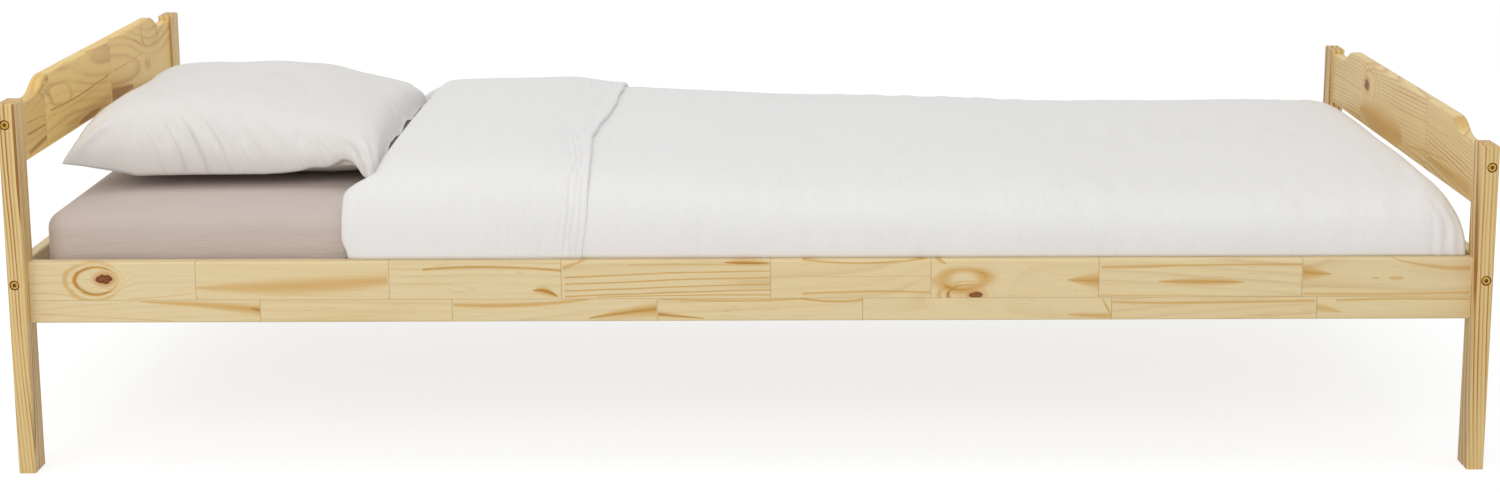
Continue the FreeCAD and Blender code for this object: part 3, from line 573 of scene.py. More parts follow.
FOOT_MARKS = (
    (240, 397, -40, 395, 0, 6, 10, 25, 0.58),
    (-325, 478, -383, 473, 0, 5, 9, 4, 0.65),
    (-200, 394, -430, 390, 0, 3, 15, 0, 0.60),
    (-70, 389, -303, 407, 2, 1.5, 1.5, 0, 0.60),
    (445, 378, 237, 381, 0, 1.5, 1.5, 0, 0.60),
    (415, 369, 225, 376, 0, 5, 5, 0, 0.35),
    (433, 440, 312, 446, 0, 1.5, 1.5, 0, 0.40),
    (438, 425, 210, 428, 0, 1.5, 1.5, 0, 0.42),
    (40, 432, -197, 448, 0, 1, 1, 0, 0.45),
    (-15, 441, -317, 444, 0, 1, 1, 0, 0.45),
    (45, 460, -122, 471, 0, 1, 1, 0, 0.35),
)

HEAD_RAIL_BLOCKS = (-0.12,)
FOOT_RAIL_BLOCKS = (0.17,)
POSTS = ("head_post_front", "head_post_back", "foot_post_front", "foot_post_back")


class FinishPine(bpy.types.Operator):
    """Gives every wooden part of the frame its pine, with the grain along the part"""

    bl_idname = "single_bed.finish_pine"
    bl_label = "Finish the pine frame"

    def execute(self, context):
        rails, panels = "XZY", "YZX"
        for number, post in enumerate(POSTS):
            self.board(post, post, "ZYX", seed=11 + number, heart=0.05, shade="ripe", figure=2.6, pitch=0.85)
        self.board(
            "rail_front", "side_rail_front", rails, (FRONT_LOWER, FRONT_UPPER), RAIL_DIVIDE,
            FRONT_KNOTS, FRONT_MARKS, seed=23, figure=0.5,
        )
        self.board(
            "rail_back", "side_rail_back", rails, (BACK_LOWER, BACK_UPPER), RAIL_DIVIDE,
            BACK_KNOTS, seed=29, figure=0.8,
        )
        self.board(
            "head_panel", "head_panel", panels, (HEAD_BLOCKS,), None, HEAD_KNOTS, HEAD_MARKS,
            seed=31, heart=0.09, shade="gold", figure=1.3,
        )
        self.board(
            "foot_panel", "foot_panel", panels, (FOOT_BLOCKS,), None, FOOT_KNOTS, FOOT_MARKS,
            seed=37, heart=0.09, shade="straw", figure=1.6,
        )
        self.board("head_rail", "head_cross_rail", panels, (HEAD_RAIL_BLOCKS,), seed=41)
        self.board("foot_rail", "foot_cross_rail", panels, (FOOT_RAIL_BLOCKS,), seed=43)
        sawn = slat_pine()
        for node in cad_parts:
            if node.startswith("slat_") and not node.startswith("slat_screws"):
                give(node, sawn)
        return {"FINISHED"}

    def board(self, name, node, order, *blocks, **look):
        give(node, pine("pine_" + name, node, order, *blocks, **look))


# Hardware


# Heights of the bolts in the head panel, the foot panel, the cross rails and the side rails
HEAD_BOLT = 502.5 * MM
FOOT_BOLT = 435.5 * MM
CROSS_BOLT = 274.5 * MM
RAIL_BOLT = 258 * MM
# Distances from a bolt's axis over which the painted shade of its socket ends and that of its rim begins
SOCKET_SHADE_END = (2.5 * MM, 3.2 * MM)
RIM_SHADE_START = (5.2 * MM, 6.2 * MM)


def plated(name, shade, rough, axes=()):
    """Plated steel: a cloudy film over turned metal, with a fine brushed height.
    Axes are (first, its place, second, its place) for bolts that run along the third direction,
    on both sides of the bed. By the distance from the nearest axis, the socket and the rim
    of a bolt head get painted shade: the shadow in the hex socket and in the gap round the head."""
    finish = Finish(name)
    place = finish.place()
    cloud = finish.noise(place, 3.0, 0.6, 260.0)
    lathe = finish.noise(place, 2.0, scale=(2600.0, 900.0, 2600.0))
    base = finish.mix(cloud.rise(0.35, 0.75) * 0.55, shade, times(shade, 0.72, 0.60, 0.48))
    xyz = finish.split(place)
    away = None
    for one, at, other, height in axes:
        off, up = xyz["XYZ".index(one)].size() - at, xyz["XYZ".index(other)] - height
        reach = (off * off + up * up).root()
        away = reach if away is None else away.smallest(reach)
    if away is not None:
        # painted shade: the hex socket, and the rim with the gap round the head, are drawn darker as if in
        # shadow
        dark = (1 - away.rise(*SOCKET_SHADE_END)).largest(away.rise(*RIM_SHADE_START))
        base = finish.mix(dark * 0.82, base, times(shade, 0.16, 0.12, 0.08))
    return finish.wear(
        Base_Color=base,
        Metallic=1.0,
        Roughness=rough + cloud * 0.18,
        Normal=finish.bump(lathe, 0.15, 0.2 * MM),
    )


def beech():
    """Beech for the dowels: short dark flecks along the pin."""
    finish = Finish("beech_dowel")
    shade = tuple(bpy.context.scene.bed_metal.beech)
    place = finish.place()
    fleck = finish.noise(place, 1.0, scale=(300.0, 300.0, 900.0))
    base = finish.mix(fleck.rise(0.45, 0.75) * 0.5, shade, times(shade, 0.74, 0.62, 0.52))
    return finish.wear(Base_Color=base, Roughness=0.6 + fleck * 0.1)


class FinishHardware(bpy.types.Operator):
    """Gives the bolts, barrel nuts, screws and dowels their finish"""

    bl_idname = "single_bed.finish_hardware"
    bl_label = "Finish the hardware"

    def execute(self, context):
        metal = context.scene.bed_metal
        end_x = float(-(low("head_panel") + high("head_panel"))[0] / 2)
        rail_y = float(-(low("side_rail_front") + high("side_rail_front"))[1] / 2)
        across = [("X", end_x, "Z", height) for height in (HEAD_BOLT, FOOT_BOLT, CROSS_BOLT)]
        along = [("Y", rail_y, "Z", RAIL_BOLT)]
        zinc = plated("zinc_steel", tuple(metal.zinc), 0.30)
        pins = beech()
        for node, axes in (("end_frame_bolts", across), ("rail_bolts", along)):
            give(node, plated("yellow_" + node, tuple(metal.yellow), 0.26, axes))
        for node in ("end_frame_barrel_nuts", "rail_barrel_nuts", "slat_screws", "ledger_screws"):
            give(node, zinc)
        for node in ("end_frame_dowels", "rail_dowels"):
            give(node, pins)
        return {"FINISHED"}


# Shapes


def grid_faces(rows, columns, closed=False):
    """Quads between the neighbours of a grid whose points are numbered row by row.
    A closed grid joins its last column to its first."""
    row = np.arange(rows - 1)[:, None] * columns
    column = np.arange(columns if closed else columns - 1)[None, :]
    after = (column + 1) % columns
    corners = [row + column, row + after, row + columns + after, row + columns + column]
    return np.stack(np.broadcast_arrays(*corners), -1).reshape(-1, 4)


def enclosed(points, faces):
    """Signed volume inside a closed mesh of quads: a sixth of the sum of a . (b x c) over its triangles."""
    a, b, c, d = (points[faces[:, i]] for i in range(4))
    return float(((a * np.cross(b, c)).sum() + (a * np.cross(c, d)).sum()) / 6)


def make_piece(name, points, faces, finish, cloth=None, weld=0.0):
    """A mesh object at the origin. Cloth is each point's place on the flat cloth, in metres: its UV map."""
    mesh = bpy.data.meshes.new(name)
    mesh.from_pydata(points.tolist(), [], faces.tolist())
    if cloth is not None:
        corner = np.empty(len(mesh.loops), np.int32)
        mesh.loops.foreach_get("vertex_index", corner)
        layer = mesh.uv_layers.new(name="cloth")
        layer.data.foreach_set("uv", cloth[corner].astype(np.float32).ravel())
    if weld:
        shell = bmesh.new()
        shell.from_mesh(mesh)
        bmesh.ops.remove_doubles(shell, verts=shell.verts, dist=weld)
        bmesh.ops.dissolve_degenerate(shell, edges=shell.edges, dist=weld / 10)
        shell.to_mesh(mesh)
        shell.free()
    mesh.polygons.foreach_set("use_smooth", np.ones(len(mesh.polygons), bool))
    mesh.materials.append(finish)
    mesh.update()
    piece = bpy.data.objects.new(name, mesh)
    bpy.context.scene.collection.objects.link(piece)
    return piece


def waves(one, two, rows, seed):
    """Sum of sine waves over two lengths. Each row gives the waves' length, their height, their number,
    and how far they may turn from the first length."""
    draw = np.random.default_rng(seed)
    total = np.zeros(np.broadcast(one, two).shape)
    for long, tall, number, turn in rows:
        for _ in range(number):
            angle = draw.uniform(-turn, turn)
            pitch = long * draw.uniform(0.75, 1.35)
            start = draw.uniform(0, 2 * np.pi)
            total = total + tall / np.sqrt(number) * np.sin(
                2 * np.pi * (one * np.cos(angle) + two * np.sin(angle)) / pitch + start
            )
    return total


def smooth_step(value, start, end):
    """0 up to start, 1 from end on, and 3 t ^ 2 - 2 t ^ 3 between them."""
    t = np.clip((value - start) / (end - start), 0, 1)
    return t * t * (3 - 2 * t)


def run_along(points):
    """Length of a line of points from its start to each of them."""
    step = np.linalg.norm(np.diff(points, axis=0), axis=1)
    return np.concatenate([[0], np.cumsum(step)])


def spread_evenly(points, number):
    """Places along a finely divided line, in shares of its number, at even steps of its length."""
    run = run_along(points)
    return np.interp(np.linspace(0, run[-1], number), run, np.arange(len(points)))


def rounded_outline(half_x, half_y, corner, side_x, side_y, bend):
    """Outline of a rectangle with quarter-circle corners, as points and outward directions.
    Each corner is centre + corner * (cos t, sin t), and each side has its own number of steps."""
    points, normals = [], []
    turns = ((1, 1, 0), (-1, 1, 1), (-1, -1, 2), (1, -1, 3))
    for sign_x, sign_y, quarter in turns:
        t = np.linspace(0, np.pi / 2, bend + 1) + quarter * np.pi / 2
        normal = np.stack([np.cos(t), np.sin(t)], 1)
        centre = np.array([sign_x * (half_x - corner), sign_y * (half_y - corner)])
        points.append(centre + corner * normal)
        normals.append(normal)
        steps = side_x if quarter % 2 == 0 else side_y
        end = points[-1][-1]
        across = half_x - corner if quarter % 2 == 0 else half_y - corner
        share_along = np.linspace(0, 1, steps + 1)[1:-1, None]
        straight = np.stack([-normal[-1][1:], normal[-1][:1]], 1)
        points.append(end + share_along * 2 * across * straight)
        normals.append(np.repeat(normal[-1:], steps - 1, 0))
    return np.concatenate(points), np.concatenate(normals)


# Mattress and fitted sheet


def ticking():
    """Mattress ticking: a fine diamond weave with narrow woven stripes along the bed."""
    finish = Finish("mattress_ticking")
    shade = tuple(bpy.context.scene.bed_sheet.ticking)
    place = finish.place()
    x, y, z = finish.split(place)
    stripe = ((y * 55.0).fract() - 0.5).size().rise(0.40, 0.46)
    weave = ((x + y + z) * 900.0).fract() - ((x - y + z) * 900.0).fract()
    base = finish.mix(stripe * 0.4, shade, times(shade, 0.72, 0.75, 0.80))
    return finish.wear(
        Base_Color=base, Roughness=0.9 - stripe * 0.1, Normal=finish.bump(weave, 0.2, 0.4 * MM)
    )


def jersey():
    """Taupe cotton jersey: knit ribs along the cloth, a soft melange and a faint nap."""
    finish = Finish("taupe_jersey")
    shade = tuple(bpy.context.scene.bed_sheet.taupe)
    place = finish.place()
    cloud = finish.noise(place, 3.0, 0.5, 9.0)
    yarn = finish.noise(place, 2.0, 0.5, 900.0)
    thread = finish.noise(place, 1.0, scale=(1500.0, 420.0, 420.0))
    crease = finish.noise(place, 3.0, 0.55, scale=(9.0, 26.0, 70.0))
    base = finish.mix(cloud.rise(0.30, 0.72) * 0.30, shade, times(shade, 0.90, 0.89, 0.88))
    base = finish.mix((yarn - 0.5).rise(-0.1, 0.3) * 0.16, base, times(shade, 0.80))
    under = finish.bump(crease, 0.40, 5 * MM)
    return finish.wear(
        Base_Color=base,
        Roughness=0.88 - yarn * 0.08,
        Normal=finish.bump(thread, 0.18, 0.4 * MM, under),
        Sheen_Weight=0.15,
        Sheen_Roughness=0.6,
    )


SIDE_STEPS, END_STEPS, BEND_STEPS = 150, 66, 22


def box_rings(half_x, half_y, corner, edge, floor, top, tuck):
    """A rounded box as rings round the vertical: spine, top, rounded edge, side, rounded edge, underside.
    On an edge the inset is edge * (1 - cos t) and the height edge * (1 - sin t) below the top;
    on the top a ring slides from the edge to the spine that joins the centres of the two end circles."""
    ring, normal = rounded_outline(half_x, half_y, corner, SIDE_STEPS, END_STEPS, BEND_STEPS)
    spine = np.stack([np.clip(ring[:, 0], half_y - half_x, half_x - half_y), 0 * ring[:, 1]], 1)
    t = np.linspace(np.pi / 2, 0, 9)
    round_in, round_down = edge * (1 - np.cos(t)), edge * (1 - np.sin(t))
    slide = (1 - np.linspace(0, 1, 22) ** 1.6)[:-1]
    side = np.linspace(0, 1, 15)[1:-1]
    inset = np.concatenate([0 * slide + edge, round_in, 0 * side, round_in[::-1], edge + tuck])
    height = np.concatenate(
        [0 * slide + top, top - round_down, (top - edge) * (1 - side) + (floor + edge) * side,
         floor + round_down[::-1], 0 * tuck + floor]
    )
    slid = np.concatenate([slide, np.zeros(len(inset) - len(slide))])
    flat = ring[None] - inset[:, None, None] * normal[None]
    flat = flat * (1 - slid[:, None, None]) + spine[None] * slid[:, None, None]
    points = np.concatenate([flat, np.broadcast_to(height[:, None, None], (*flat.shape[:2], 1))], 2)
    outward = np.concatenate(
        [np.zeros(len(slide)), np.cos(t), 0 * side + 1, np.cos(t[::-1]), 0 * tuck]
    )
    upward = np.concatenate(
        [np.ones(len(slide)), np.sin(t), 0 * side, -np.sin(t[::-1]), 0 * tuck - 1]
    )
    away = np.concatenate(
        [outward[:, None, None] * normal[None],
         np.broadcast_to(upward[:, None, None], (*flat.shape[:2], 1))], 2
    )
    return points, away, normal


MATTRESS_CORNER, MATTRESS_EDGE = 30 * MM, 24 * MM
QUILT_PITCH, QUILT_DEPTH = 110 * MM, 3.5 * MM
PIPING_HEIGHT = 1.8 * MM
SHEET_CORNER, SHEET_EDGE = 31.3 * MM, 25.3 * MM
SHEET_THICK, SHEET_TUCK = 0.9 * MM, 34 * MM
SEAM_HALF_WIDTH, PUCKER_HEIGHT = 1.3 * MM, 1.0 * MM
SHEET_LOWEST, SHEET_HIGHEST = -0.6 * MM, 2.6 * MM
WELD = 0.02 * MM


class MakeMattress(bpy.types.Operator):
    """Makes the quilted mattress with its piped edges"""

    bl_idname = "single_bed.make_mattress"
    bl_label = "Make the mattress"

    def execute(self, context):
        lowest, highest = low("mattress"), high("mattress")
        half = (highest - lowest) / 2
        under = np.linspace(0, half[1] - MATTRESS_EDGE, 20)[1:]
        points, away, _ = box_rings(
            half[0], half[1], MATTRESS_CORNER, MATTRESS_EDGE, lowest[2], highest[2], under * 0
        )
        rows, columns = points.shape[:2]
        count = len(under)
        base = points[rows - count - 1]
        spine = np.stack(
            [np.clip(base[:, 0], half[1] - half[0], half[0] - half[1]), 0 * base[:, 1], base[:, 2]], 1
        )
        slid = np.linspace(0, 1, count + 1)[1:, None, None]
        points[rows - count:] = base[None] * (1 - slid) + spine[None] * slid
        x, y = points[..., 0], points[..., 1]
        stitch = np.abs(np.sin(np.pi * (x + y) / QUILT_PITCH) * np.sin(np.pi * (x - y) / QUILT_PITCH))
        flat = np.abs(away[..., 2]) > 0.99
        from_edge = np.minimum(half[0] - np.abs(x), half[1] - np.abs(y))
        inside = smooth_step(from_edge, 30 * MM, 70 * MM)
        points = points - away * (QUILT_DEPTH * (1 - stitch**0.4) * flat * inside)[..., None]
        wall = (points[..., 2] - lowest[2]) / (highest[2] - lowest[2])
        piping = np.exp(-(((np.abs(wall - 0.5) - 0.30) / 0.03) ** 2))
        side_only = 1 - np.abs(away[..., 2])
        points = points - away * ((1 - piping) * PIPING_HEIGHT * side_only)[..., None]
        points = points.reshape(-1, 3)
        piece = make_piece(
            "mattress_block", points, grid_faces(rows, columns, True), ticking(), weld=WELD
        )
        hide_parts("mattress")
        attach(piece, "mattress")
        return {"FINISHED"}


class MakeFittedSheet(bpy.types.Operator):
    """Makes the fitted sheet, drawn over the mattress with a dart seam at each corner and tucked under it"""

    bl_idname = "single_bed.make_fitted_sheet"
    bl_label = "Make the fitted sheet"

    def execute(self, context):
        settings = context.scene.bed_sheet
        lowest, highest = low("fitted_sheet"), high("fitted_sheet")
        half = (highest - lowest) / 2
        thin = SHEET_THICK / 2
        tuck = np.linspace(0, SHEET_TUCK, 8)[1:]
        points, away, normal = box_rings(
            half[0] - thin, half[1] - thin, SHEET_CORNER, SHEET_EDGE,
            lowest[2] + thin, highest[2] - thin, tuck,
        )
        x, y, z = (points[..., i] for i in range(3))
        level = (z - lowest[2]) / (highest[2] - lowest[2])
        bend = np.arctan2(np.abs(normal[:, 1]), np.abs(normal[:, 0])) - np.pi / 4
        at_corner = (np.abs(bend) < np.pi / 4 - 1e-6)[None]
        wall = 1 - np.abs(away[..., 2])
        seam = np.exp(-((bend[None] * SHEET_CORNER / SEAM_HALF_WIDTH) ** 2)) * at_corner
        seam = seam * smooth_step(wall, 0.05, 0.5)
        puckers = np.cos(bend[None] * 26) * np.exp(-((bend[None] / 0.55) ** 2)) * at_corner * wall
        puckers = puckers * (smooth_step(level, 0.55, 0.05) + 0.5 * smooth_step(level, 0.7, 0.95))
        ripple = waves(
            x + y, z, ((0.31, 0.9, 4, 0.5), (0.13, 0.45, 5, 0.9), (0.055, 0.2, 6, 1.2)), 61
        ) * smooth_step(wall, 0.2, 0.9) * smooth_step(np.abs(level - 0.5), 0.5, 0.2)
        move = settings.seam * seam + PUCKER_HEIGHT * puckers + settings.ripple * ripple * 0.6
        points = points + away * np.clip(move, SHEET_LOWEST, SHEET_HIGHEST)[..., None]
        rows, columns = points.shape[:2]
        faces = grid_faces(rows, columns, True)[:, ::-1]
        points = points.reshape(-1, 3)
        piece = make_piece("sheet_drawn_over", points, faces, jersey(), weld=WELD)
        wall_modifier = piece.modifiers.new("Cloth thickness", "SOLIDIFY")
        wall_modifier.thickness = SHEET_THICK
        wall_modifier.offset = 0
        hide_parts("fitted_sheet")
        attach(piece, "mattress")
        return {"FINISHED"}


# Pillow and duvet


# The folds beside the pillow's front edge, in lengths along and across the flat cloth
FOLD_PITCH, FOLD_MIDDLE, FOLD_REACH = 33 * MM, -55 * MM, 60 * MM
FOLD_RISE = (270 * MM, 303 * MM)


def crinkled_cotton(name, shade, depth, folded=False):
    """White double gauze: fine crinkles that run across the bed, a loose weave,
    and painted shade: the hollows between crinkles are drawn slightly greyer, as if shadowed.
    It reads the flat cloth's own UV map, in metres: the first length runs along the bed.
    Folded cotton also has slanting creases beside its front edge: narrow folds 33 mm apart,
    strongest 55 mm from the middle towards the head, and finer ones between them."""
    finish = Finish(name)
    cloth = finish.node("UVMap", {"uv_map": "cloth"})
    swirl = finish.noise(cloth, 2.0, 0.5, scale=(9.0, 9.0, 1.0)).out("Color")
    bent = finish.vector("MULTIPLY_ADD", swirl, (0.012, 0.012, 0.0), cloth)
    crinkle = finish.noise(bent, 3.0, 0.6, scale=(170.0, 17.0, 1.0))
    pleat = finish.noise(bent, 2.0, 0.5, scale=(60.0, 5.0, 1.0))
    patch = finish.noise(cloth, 2.0, scale=(5.0, 5.0, 1.0))
    weave = finish.noise(cloth, 1.0, scale=(1400.0, 1400.0, 1.0))
    strong = patch.rise(0.35, 0.72)
    relief = crinkle * (strong * 0.75 + 0.25) + pleat * 0.55
    # painted shade: the low parts between crinkles are drawn greyer, as shadow would make them
    painted_crease_shade = (1 - crinkle.rise(0.30, 0.55)) * (strong * 0.7 + 0.3)
    if folded:
        x, y, _ = finish.split(bent)
        slanted = x + y * 1.2
        fold = (1 - ((slanted / FOLD_PITCH).fract() * 2 - 1).size()) ** 5
        small = finish.noise(finish.node("CombineXYZ", {}, {0: slanted * 190.0, 1: y * 14.0}), 2.0)
        front = (y * -1).rise(*FOLD_RISE)
        near = (x - FOLD_MIDDLE) / FOLD_REACH
        relief = relief + front * (fold * (near * near * -1).exp() * 2.4 + small * 1.5)
    base = finish.mix(painted_crease_shade * 0.22, shade, times(shade, 0.84, 0.83, 0.83))
    base = finish.mix((weave - 0.5).rise(-0.1, 0.3) * 0.07, base, times(shade, 0.85))
    under = finish.bump(relief, depth, 2.2 * MM)
    return finish.wear(
        Base_Color=base,
        Roughness=0.86 - weave * 0.06,
        Normal=finish.bump(weave, 0.10, 0.3 * MM, under),
        Sheen_Weight=0.10,
        Sheen_Roughness=0.7,
    )


def pillow_blank(size, across, down):
    """Two layers of cloth joined at the rim, over (u, v) from -1 to 1.
    The corners are drawn out by e = |u v| ^ 12:
    x = wide / 2 * u * (1 - 0.02 (1 - v ^ 2) - 0.025 (1 - e)),
    y = long / 2 * v * (1 - 0.13 (1 - u ^ 4) - 0.02 (1 - e)),
    z = +-tall / 2 * ((1 - a ^ n)(1 - |v| ^ m)) ^ 0.5, where a is |u| and n 6 to 9 towards the head,
    but a is u / 0.965 and n falls to 1.9 on the open side, which leaves a flat lip there;
    m is 3.2, and up to 8 at the front.
    The lower layer leaves out the rim.
    Gives the points, the faces, and each point's (u, v, a, layer), with layer 1 above and -1 below."""
    u, v = np.meshgrid(np.linspace(-1, 1, across + 1), np.linspace(-1, 1, down + 1))
    ear = np.abs(u * v) ** 12
    x = size[0] / 2 * u * (1 - 0.02 * (1 - v**2) - 0.025 * (1 - ear))
    y = size[1] / 2 * v * (1 - 0.13 * (1 - u**4) - 0.02 * (1 - ear))
    a = np.minimum(np.where(u > 0, u / 0.965, -u), 1)
    front = smooth_step(v, 0.15, -0.55)
    power = 6 + 3 * front
    power = power - (power - 1.9) * smooth_step(u, -0.7, 0.5)
    ends = 3.2 + np.maximum(power - 4.2, 0) * front
    z = size[2] / 2 * ((1 - a**power) * (1 - np.abs(v) ** ends)) ** 0.5
    inside = (slice(1, -1), slice(1, -1))
    z[inside] = np.maximum(z[inside], 0.6 * MM)
    upper = np.stack([x, y, z], -1).reshape(-1, 3)
    number = np.arange(len(upper)).reshape(down + 1, across + 1)
    lower_number = number.copy()
    lower_number[inside] = len(upper) + np.arange((down - 1) * (across - 1)).reshape(down - 1, across - 1)
    lower = (upper * (1, 1, -1)).reshape(down + 1, across + 1, 3)[inside].reshape(-1, 3)
    faces = grid_faces(down + 1, across + 1)
    under = lower_number.reshape(-1)[faces][:, ::-1]
    share = np.stack([u, v, a, 0 * u + 1], -1)
    share = np.concatenate([share.reshape(-1, 4), share[inside].reshape(-1, 4) * (1, 1, 1, -1)])
    return np.concatenate([upper, lower]), np.concatenate([faces, under]), share


def fill_case(piece, pressure, spare, frames, most):
    """Fills the case with cloth simulation: the cloth has some spare length, so it creases at the seams.
    No point moves further than most. Gives the points it comes to."""
    cloth = piece.modifiers.new("Cloth", "CLOTH")
    settings = cloth.settings
    settings.quality = 6
    settings.mass = 0.25
    settings.air_damping = 2.0
    settings.tension_stiffness = 25
    settings.compression_stiffness = 12
    settings.shear_stiffness = 6
    settings.bending_stiffness = 0.15
    settings.shrink_min = -spare
    settings.use_pressure = True
    settings.uniform_pressure_force = pressure
    settings.effector_weights.gravity = 0
    cloth.point_cache.frame_start = 1
    cloth.point_cache.frame_end = frames
    scene = bpy.context.scene
    for step in range(1, frames + 1):
        scene.frame_set(step)
    filled = piece.evaluated_get(bpy.context.evaluated_depsgraph_get())
    points = np.empty(len(filled.data.vertices) * 3)
    filled.data.vertices.foreach_get("co", points)
    piece.modifiers.remove(cloth)
    scene.frame_set(1)
    start = np.empty(len(points))
    piece.data.vertices.foreach_get("co", start)
    move = (points - start).reshape(-1, 3)
    far = np.linalg.norm(move, axis=1, keepdims=True)
    return start.reshape(-1, 3) + move * most * np.tanh(far / most) / np.maximum(far, 1e-9)


def place_points(piece, points):
    """Moves a mesh's points, and gives the new outward direction at each of them."""
    piece.data.vertices.foreach_set("co", points.astype(np.float32).ravel())
    piece.data.update()
    normal = np.empty(points.size, np.float32)
    piece.data.vertices.foreach_get("normal", normal)
    return normal.reshape(-1, 3)


def end_seam(u):
    """Height of the seam along the pillow's two ends: 19 mm, with 30 mm more at the ear beside the head,
    growing over the last fifth of the way, and a hump of 22 mm before the ear on the open side,
    22 exp(-((u - 0.75) / wide) ^ 2), which is wide 0.28 before its top and 0.12 after it."""
    ear = 30 * MM * np.clip((-u - 0.62) / 0.38, 0, 1)
    wide = np.where(u < 0.75, 0.28, 0.12)
    return 19 * MM + ear + 22 * MM * np.exp(-(((u - 0.75) / wide) ** 2))


class MakePillow(bpy.types.Operator):
    """Makes the pillow: a sewn case, filled by simulation, creased and set down on the sheet"""

    bl_idname = "single_bed.make_pillow"
    bl_label = "Make the pillow"
    steps = (76, 132)
    cloth_share = (0.99, 0.99, 0.92)
    under_layer = (0.0, 2.0)
    most_swell, rest_gap, spill = 16 * MM, 0.3 * MM, 12 * MM
    lip_gap, ear, bulge = 6 * MM, 12 * MM, 60 * MM

    def execute(self, context):
        settings = context.scene.bed_pillow
        lowest, highest = low("pillowcase"), high("pillowcase")
        size = highest - lowest
        blank, faces, share = pillow_blank(size * self.cloth_share, *self.steps)
        cloth = share[:, :2] * size[:2] / 2 + np.where(share[:, 3:] < 0, self.under_layer, 0.0)
        cotton = crinkled_cotton("pillow_cotton", tuple(settings.cotton), 0.55, True)
        piece = make_piece("pillow_in_case", blank, faces, cotton, cloth)
        points = blank
        points = fill_case(piece, settings.pressure, settings.spare, settings.frames, self.most_swell)
        if not np.isfinite(points).all():
            raise RuntimeError("the pillow's filling did not settle")
        points = self.set_down(points, share, lowest, size, settings.seat)
        normal = place_points(piece, points)
        points = points + normal * self.creases(share, size, settings.crease)[:, None]
        points = self.edges(points, share, size)
        points[:, 2] = np.clip(points[:, 2], lowest[2] + self.rest_gap, highest[2])
        points[:, :2] = np.clip(points[:, :2], lowest[:2] - self.spill, highest[:2] + (0, self.spill))
        place_points(piece, points)
        finer = piece.modifiers.new("Finer cloth", "SUBSURF")
        finer.levels = finer.render_levels = 1
        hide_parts("pillowcase", "pillow_filling")
        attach(piece, "pillow")
        return {"FINISHED"}

    def set_down(self, points, share, lowest, size, seat):
        """Fits the filled case to its place. Along the sides the seam is
        seat * (1 - 0.08 o + h (0.40 - 0.24 v ^ 2)) high, with h = max(0, -u) and o = max(0, u),
        and along the two ends it follows end_seam, mixed by v ^ 4. Above it z is stretched to the crest,
        size - 5 - 6 u - 3 o + 5 exp(-((u + 0.15) / 0.4) ^ 2) mm;
        below it the sole lies on the sheet and curves up to the seam:
        z = seam * (1 - (1 - ((|v| - 0.45) / 0.55) ^ 1.5)(1 - a ^ 7) ^ 0.6). The open side is drawn straight,
        and both ends bulge over their seam."""
        u, v, a, layer = share.T
        mid = (points.max(0) + points.min(0)) / 2
        span = points.max(0) - points.min(0)
        flat = (points[:, :2] - mid[:2]) / span[:2] * size[:2]
        rim = (u == 1) & (layer > 0)
        edge = np.interp(v, v[rim], flat[rim, 0])
        flat[:, 0] += (size[0] / 2 - self.lip_gap - edge) * np.clip(u, 0, 1) ** 2
        flat[:, 0] -= self.ear * (np.maximum(-u, 0) * np.abs(v)) ** 10
        side_seam = seat * (1 - 0.08 * np.maximum(u, 0) + np.maximum(-u, 0) * (0.40 - 0.24 * v**2))
        seam = side_seam + (end_seam(u) - side_seam) * v**4
        rise = np.clip(points[:, 2] / points[:, 2].max(), 0, 1) * (1 - 0.85 * smooth_step(u, 0.94, 0.97))
        end = np.clip((np.abs(v) - 0.45) / 0.55, 0, 1) ** 1.5
        sole = seam * (1 - (1 - end) * (1 - a**7) ** 0.6) - 0.5 * MM * (a > 0.999)
        hump = np.exp(-(((u + 0.15) / 0.4) ** 2))
        crest = size[2] - 5 * MM - 6 * MM * u - 3 * MM * np.maximum(u, 0) + 5 * MM * hump
        flat[:, 1] += np.sign(v) * self.bulge * rise * (1 - rise) * np.abs(v) ** 8 * (layer > 0)
        z = np.where(layer > 0, seam + (crest - seam) * rise, sole)
        place = lowest + size * (0.5, 0.5, 0)
        return np.stack([flat[:, 0] + place[0], flat[:, 1] + place[1], z + place[2]], 1)

    def creases(self, share, size, height):
        """How far each point moves outwards: broad waves, puckers cos(13 t) that spread from each corner
        at the angle t, gathers along the seam, and soft slanting folds over the front."""
        u, v, a, layer = share.T
        p, q = u * size[0] / 2, v * size[1] / 2
        from_side, from_end = (1 - a) * size[0] / 2, (1 - np.abs(v)) * size[1] / 2
        away, turn = np.hypot(from_side, from_end), np.arctan2(from_end, from_side)
        bend = waves(p, q, ((0.11, 1.0, 4, 1.5),), 51)
        patchy = 0.5 + 0.5 * np.tanh(1.6 * waves(p, q, ((0.25, 1.0, 4, 1.5),), 53))
        broad = waves(p, q, ((0.24, 1.0, 4, 1.5), (0.10, 0.45, 5, 1.5)), 57)
        inner = smooth_step(np.minimum(from_side, from_end), 0, 60 * MM)
        puckers = np.cos(13 * turn + bend) * np.exp(-(((away - 36 * MM) / (26 * MM)) ** 2))
        gathers = sum(
            np.cos(2 * np.pi * (run + 0.3 * gap) / (22 * MM) + 1.5 * bend)
            * np.exp(-gap / (30 * MM)) * smooth_step(gap, 0, 9 * MM)
            for run, gap in ((p, from_end), (q, from_side))
        )
        ridge = (1 - np.abs(np.sin(np.pi * (0.80 * p + 1.40 * q) / (36 * MM) + 0.5 * bend))) ** 2
        front = smooth_step(-v, 0.70, 0.88) * smooth_step(-v, 1.0, 0.96)
        front = front * np.exp(-(((p + 20 * MM) / (120 * MM)) ** 2))
        above = 1.6 * broad * inner + 1.7 * puckers + 0.8 * patchy * gathers + 3.4 * ridge * front
        return height * np.where(layer > 0, above, 0.5 * puckers + 0.4 * gathers)

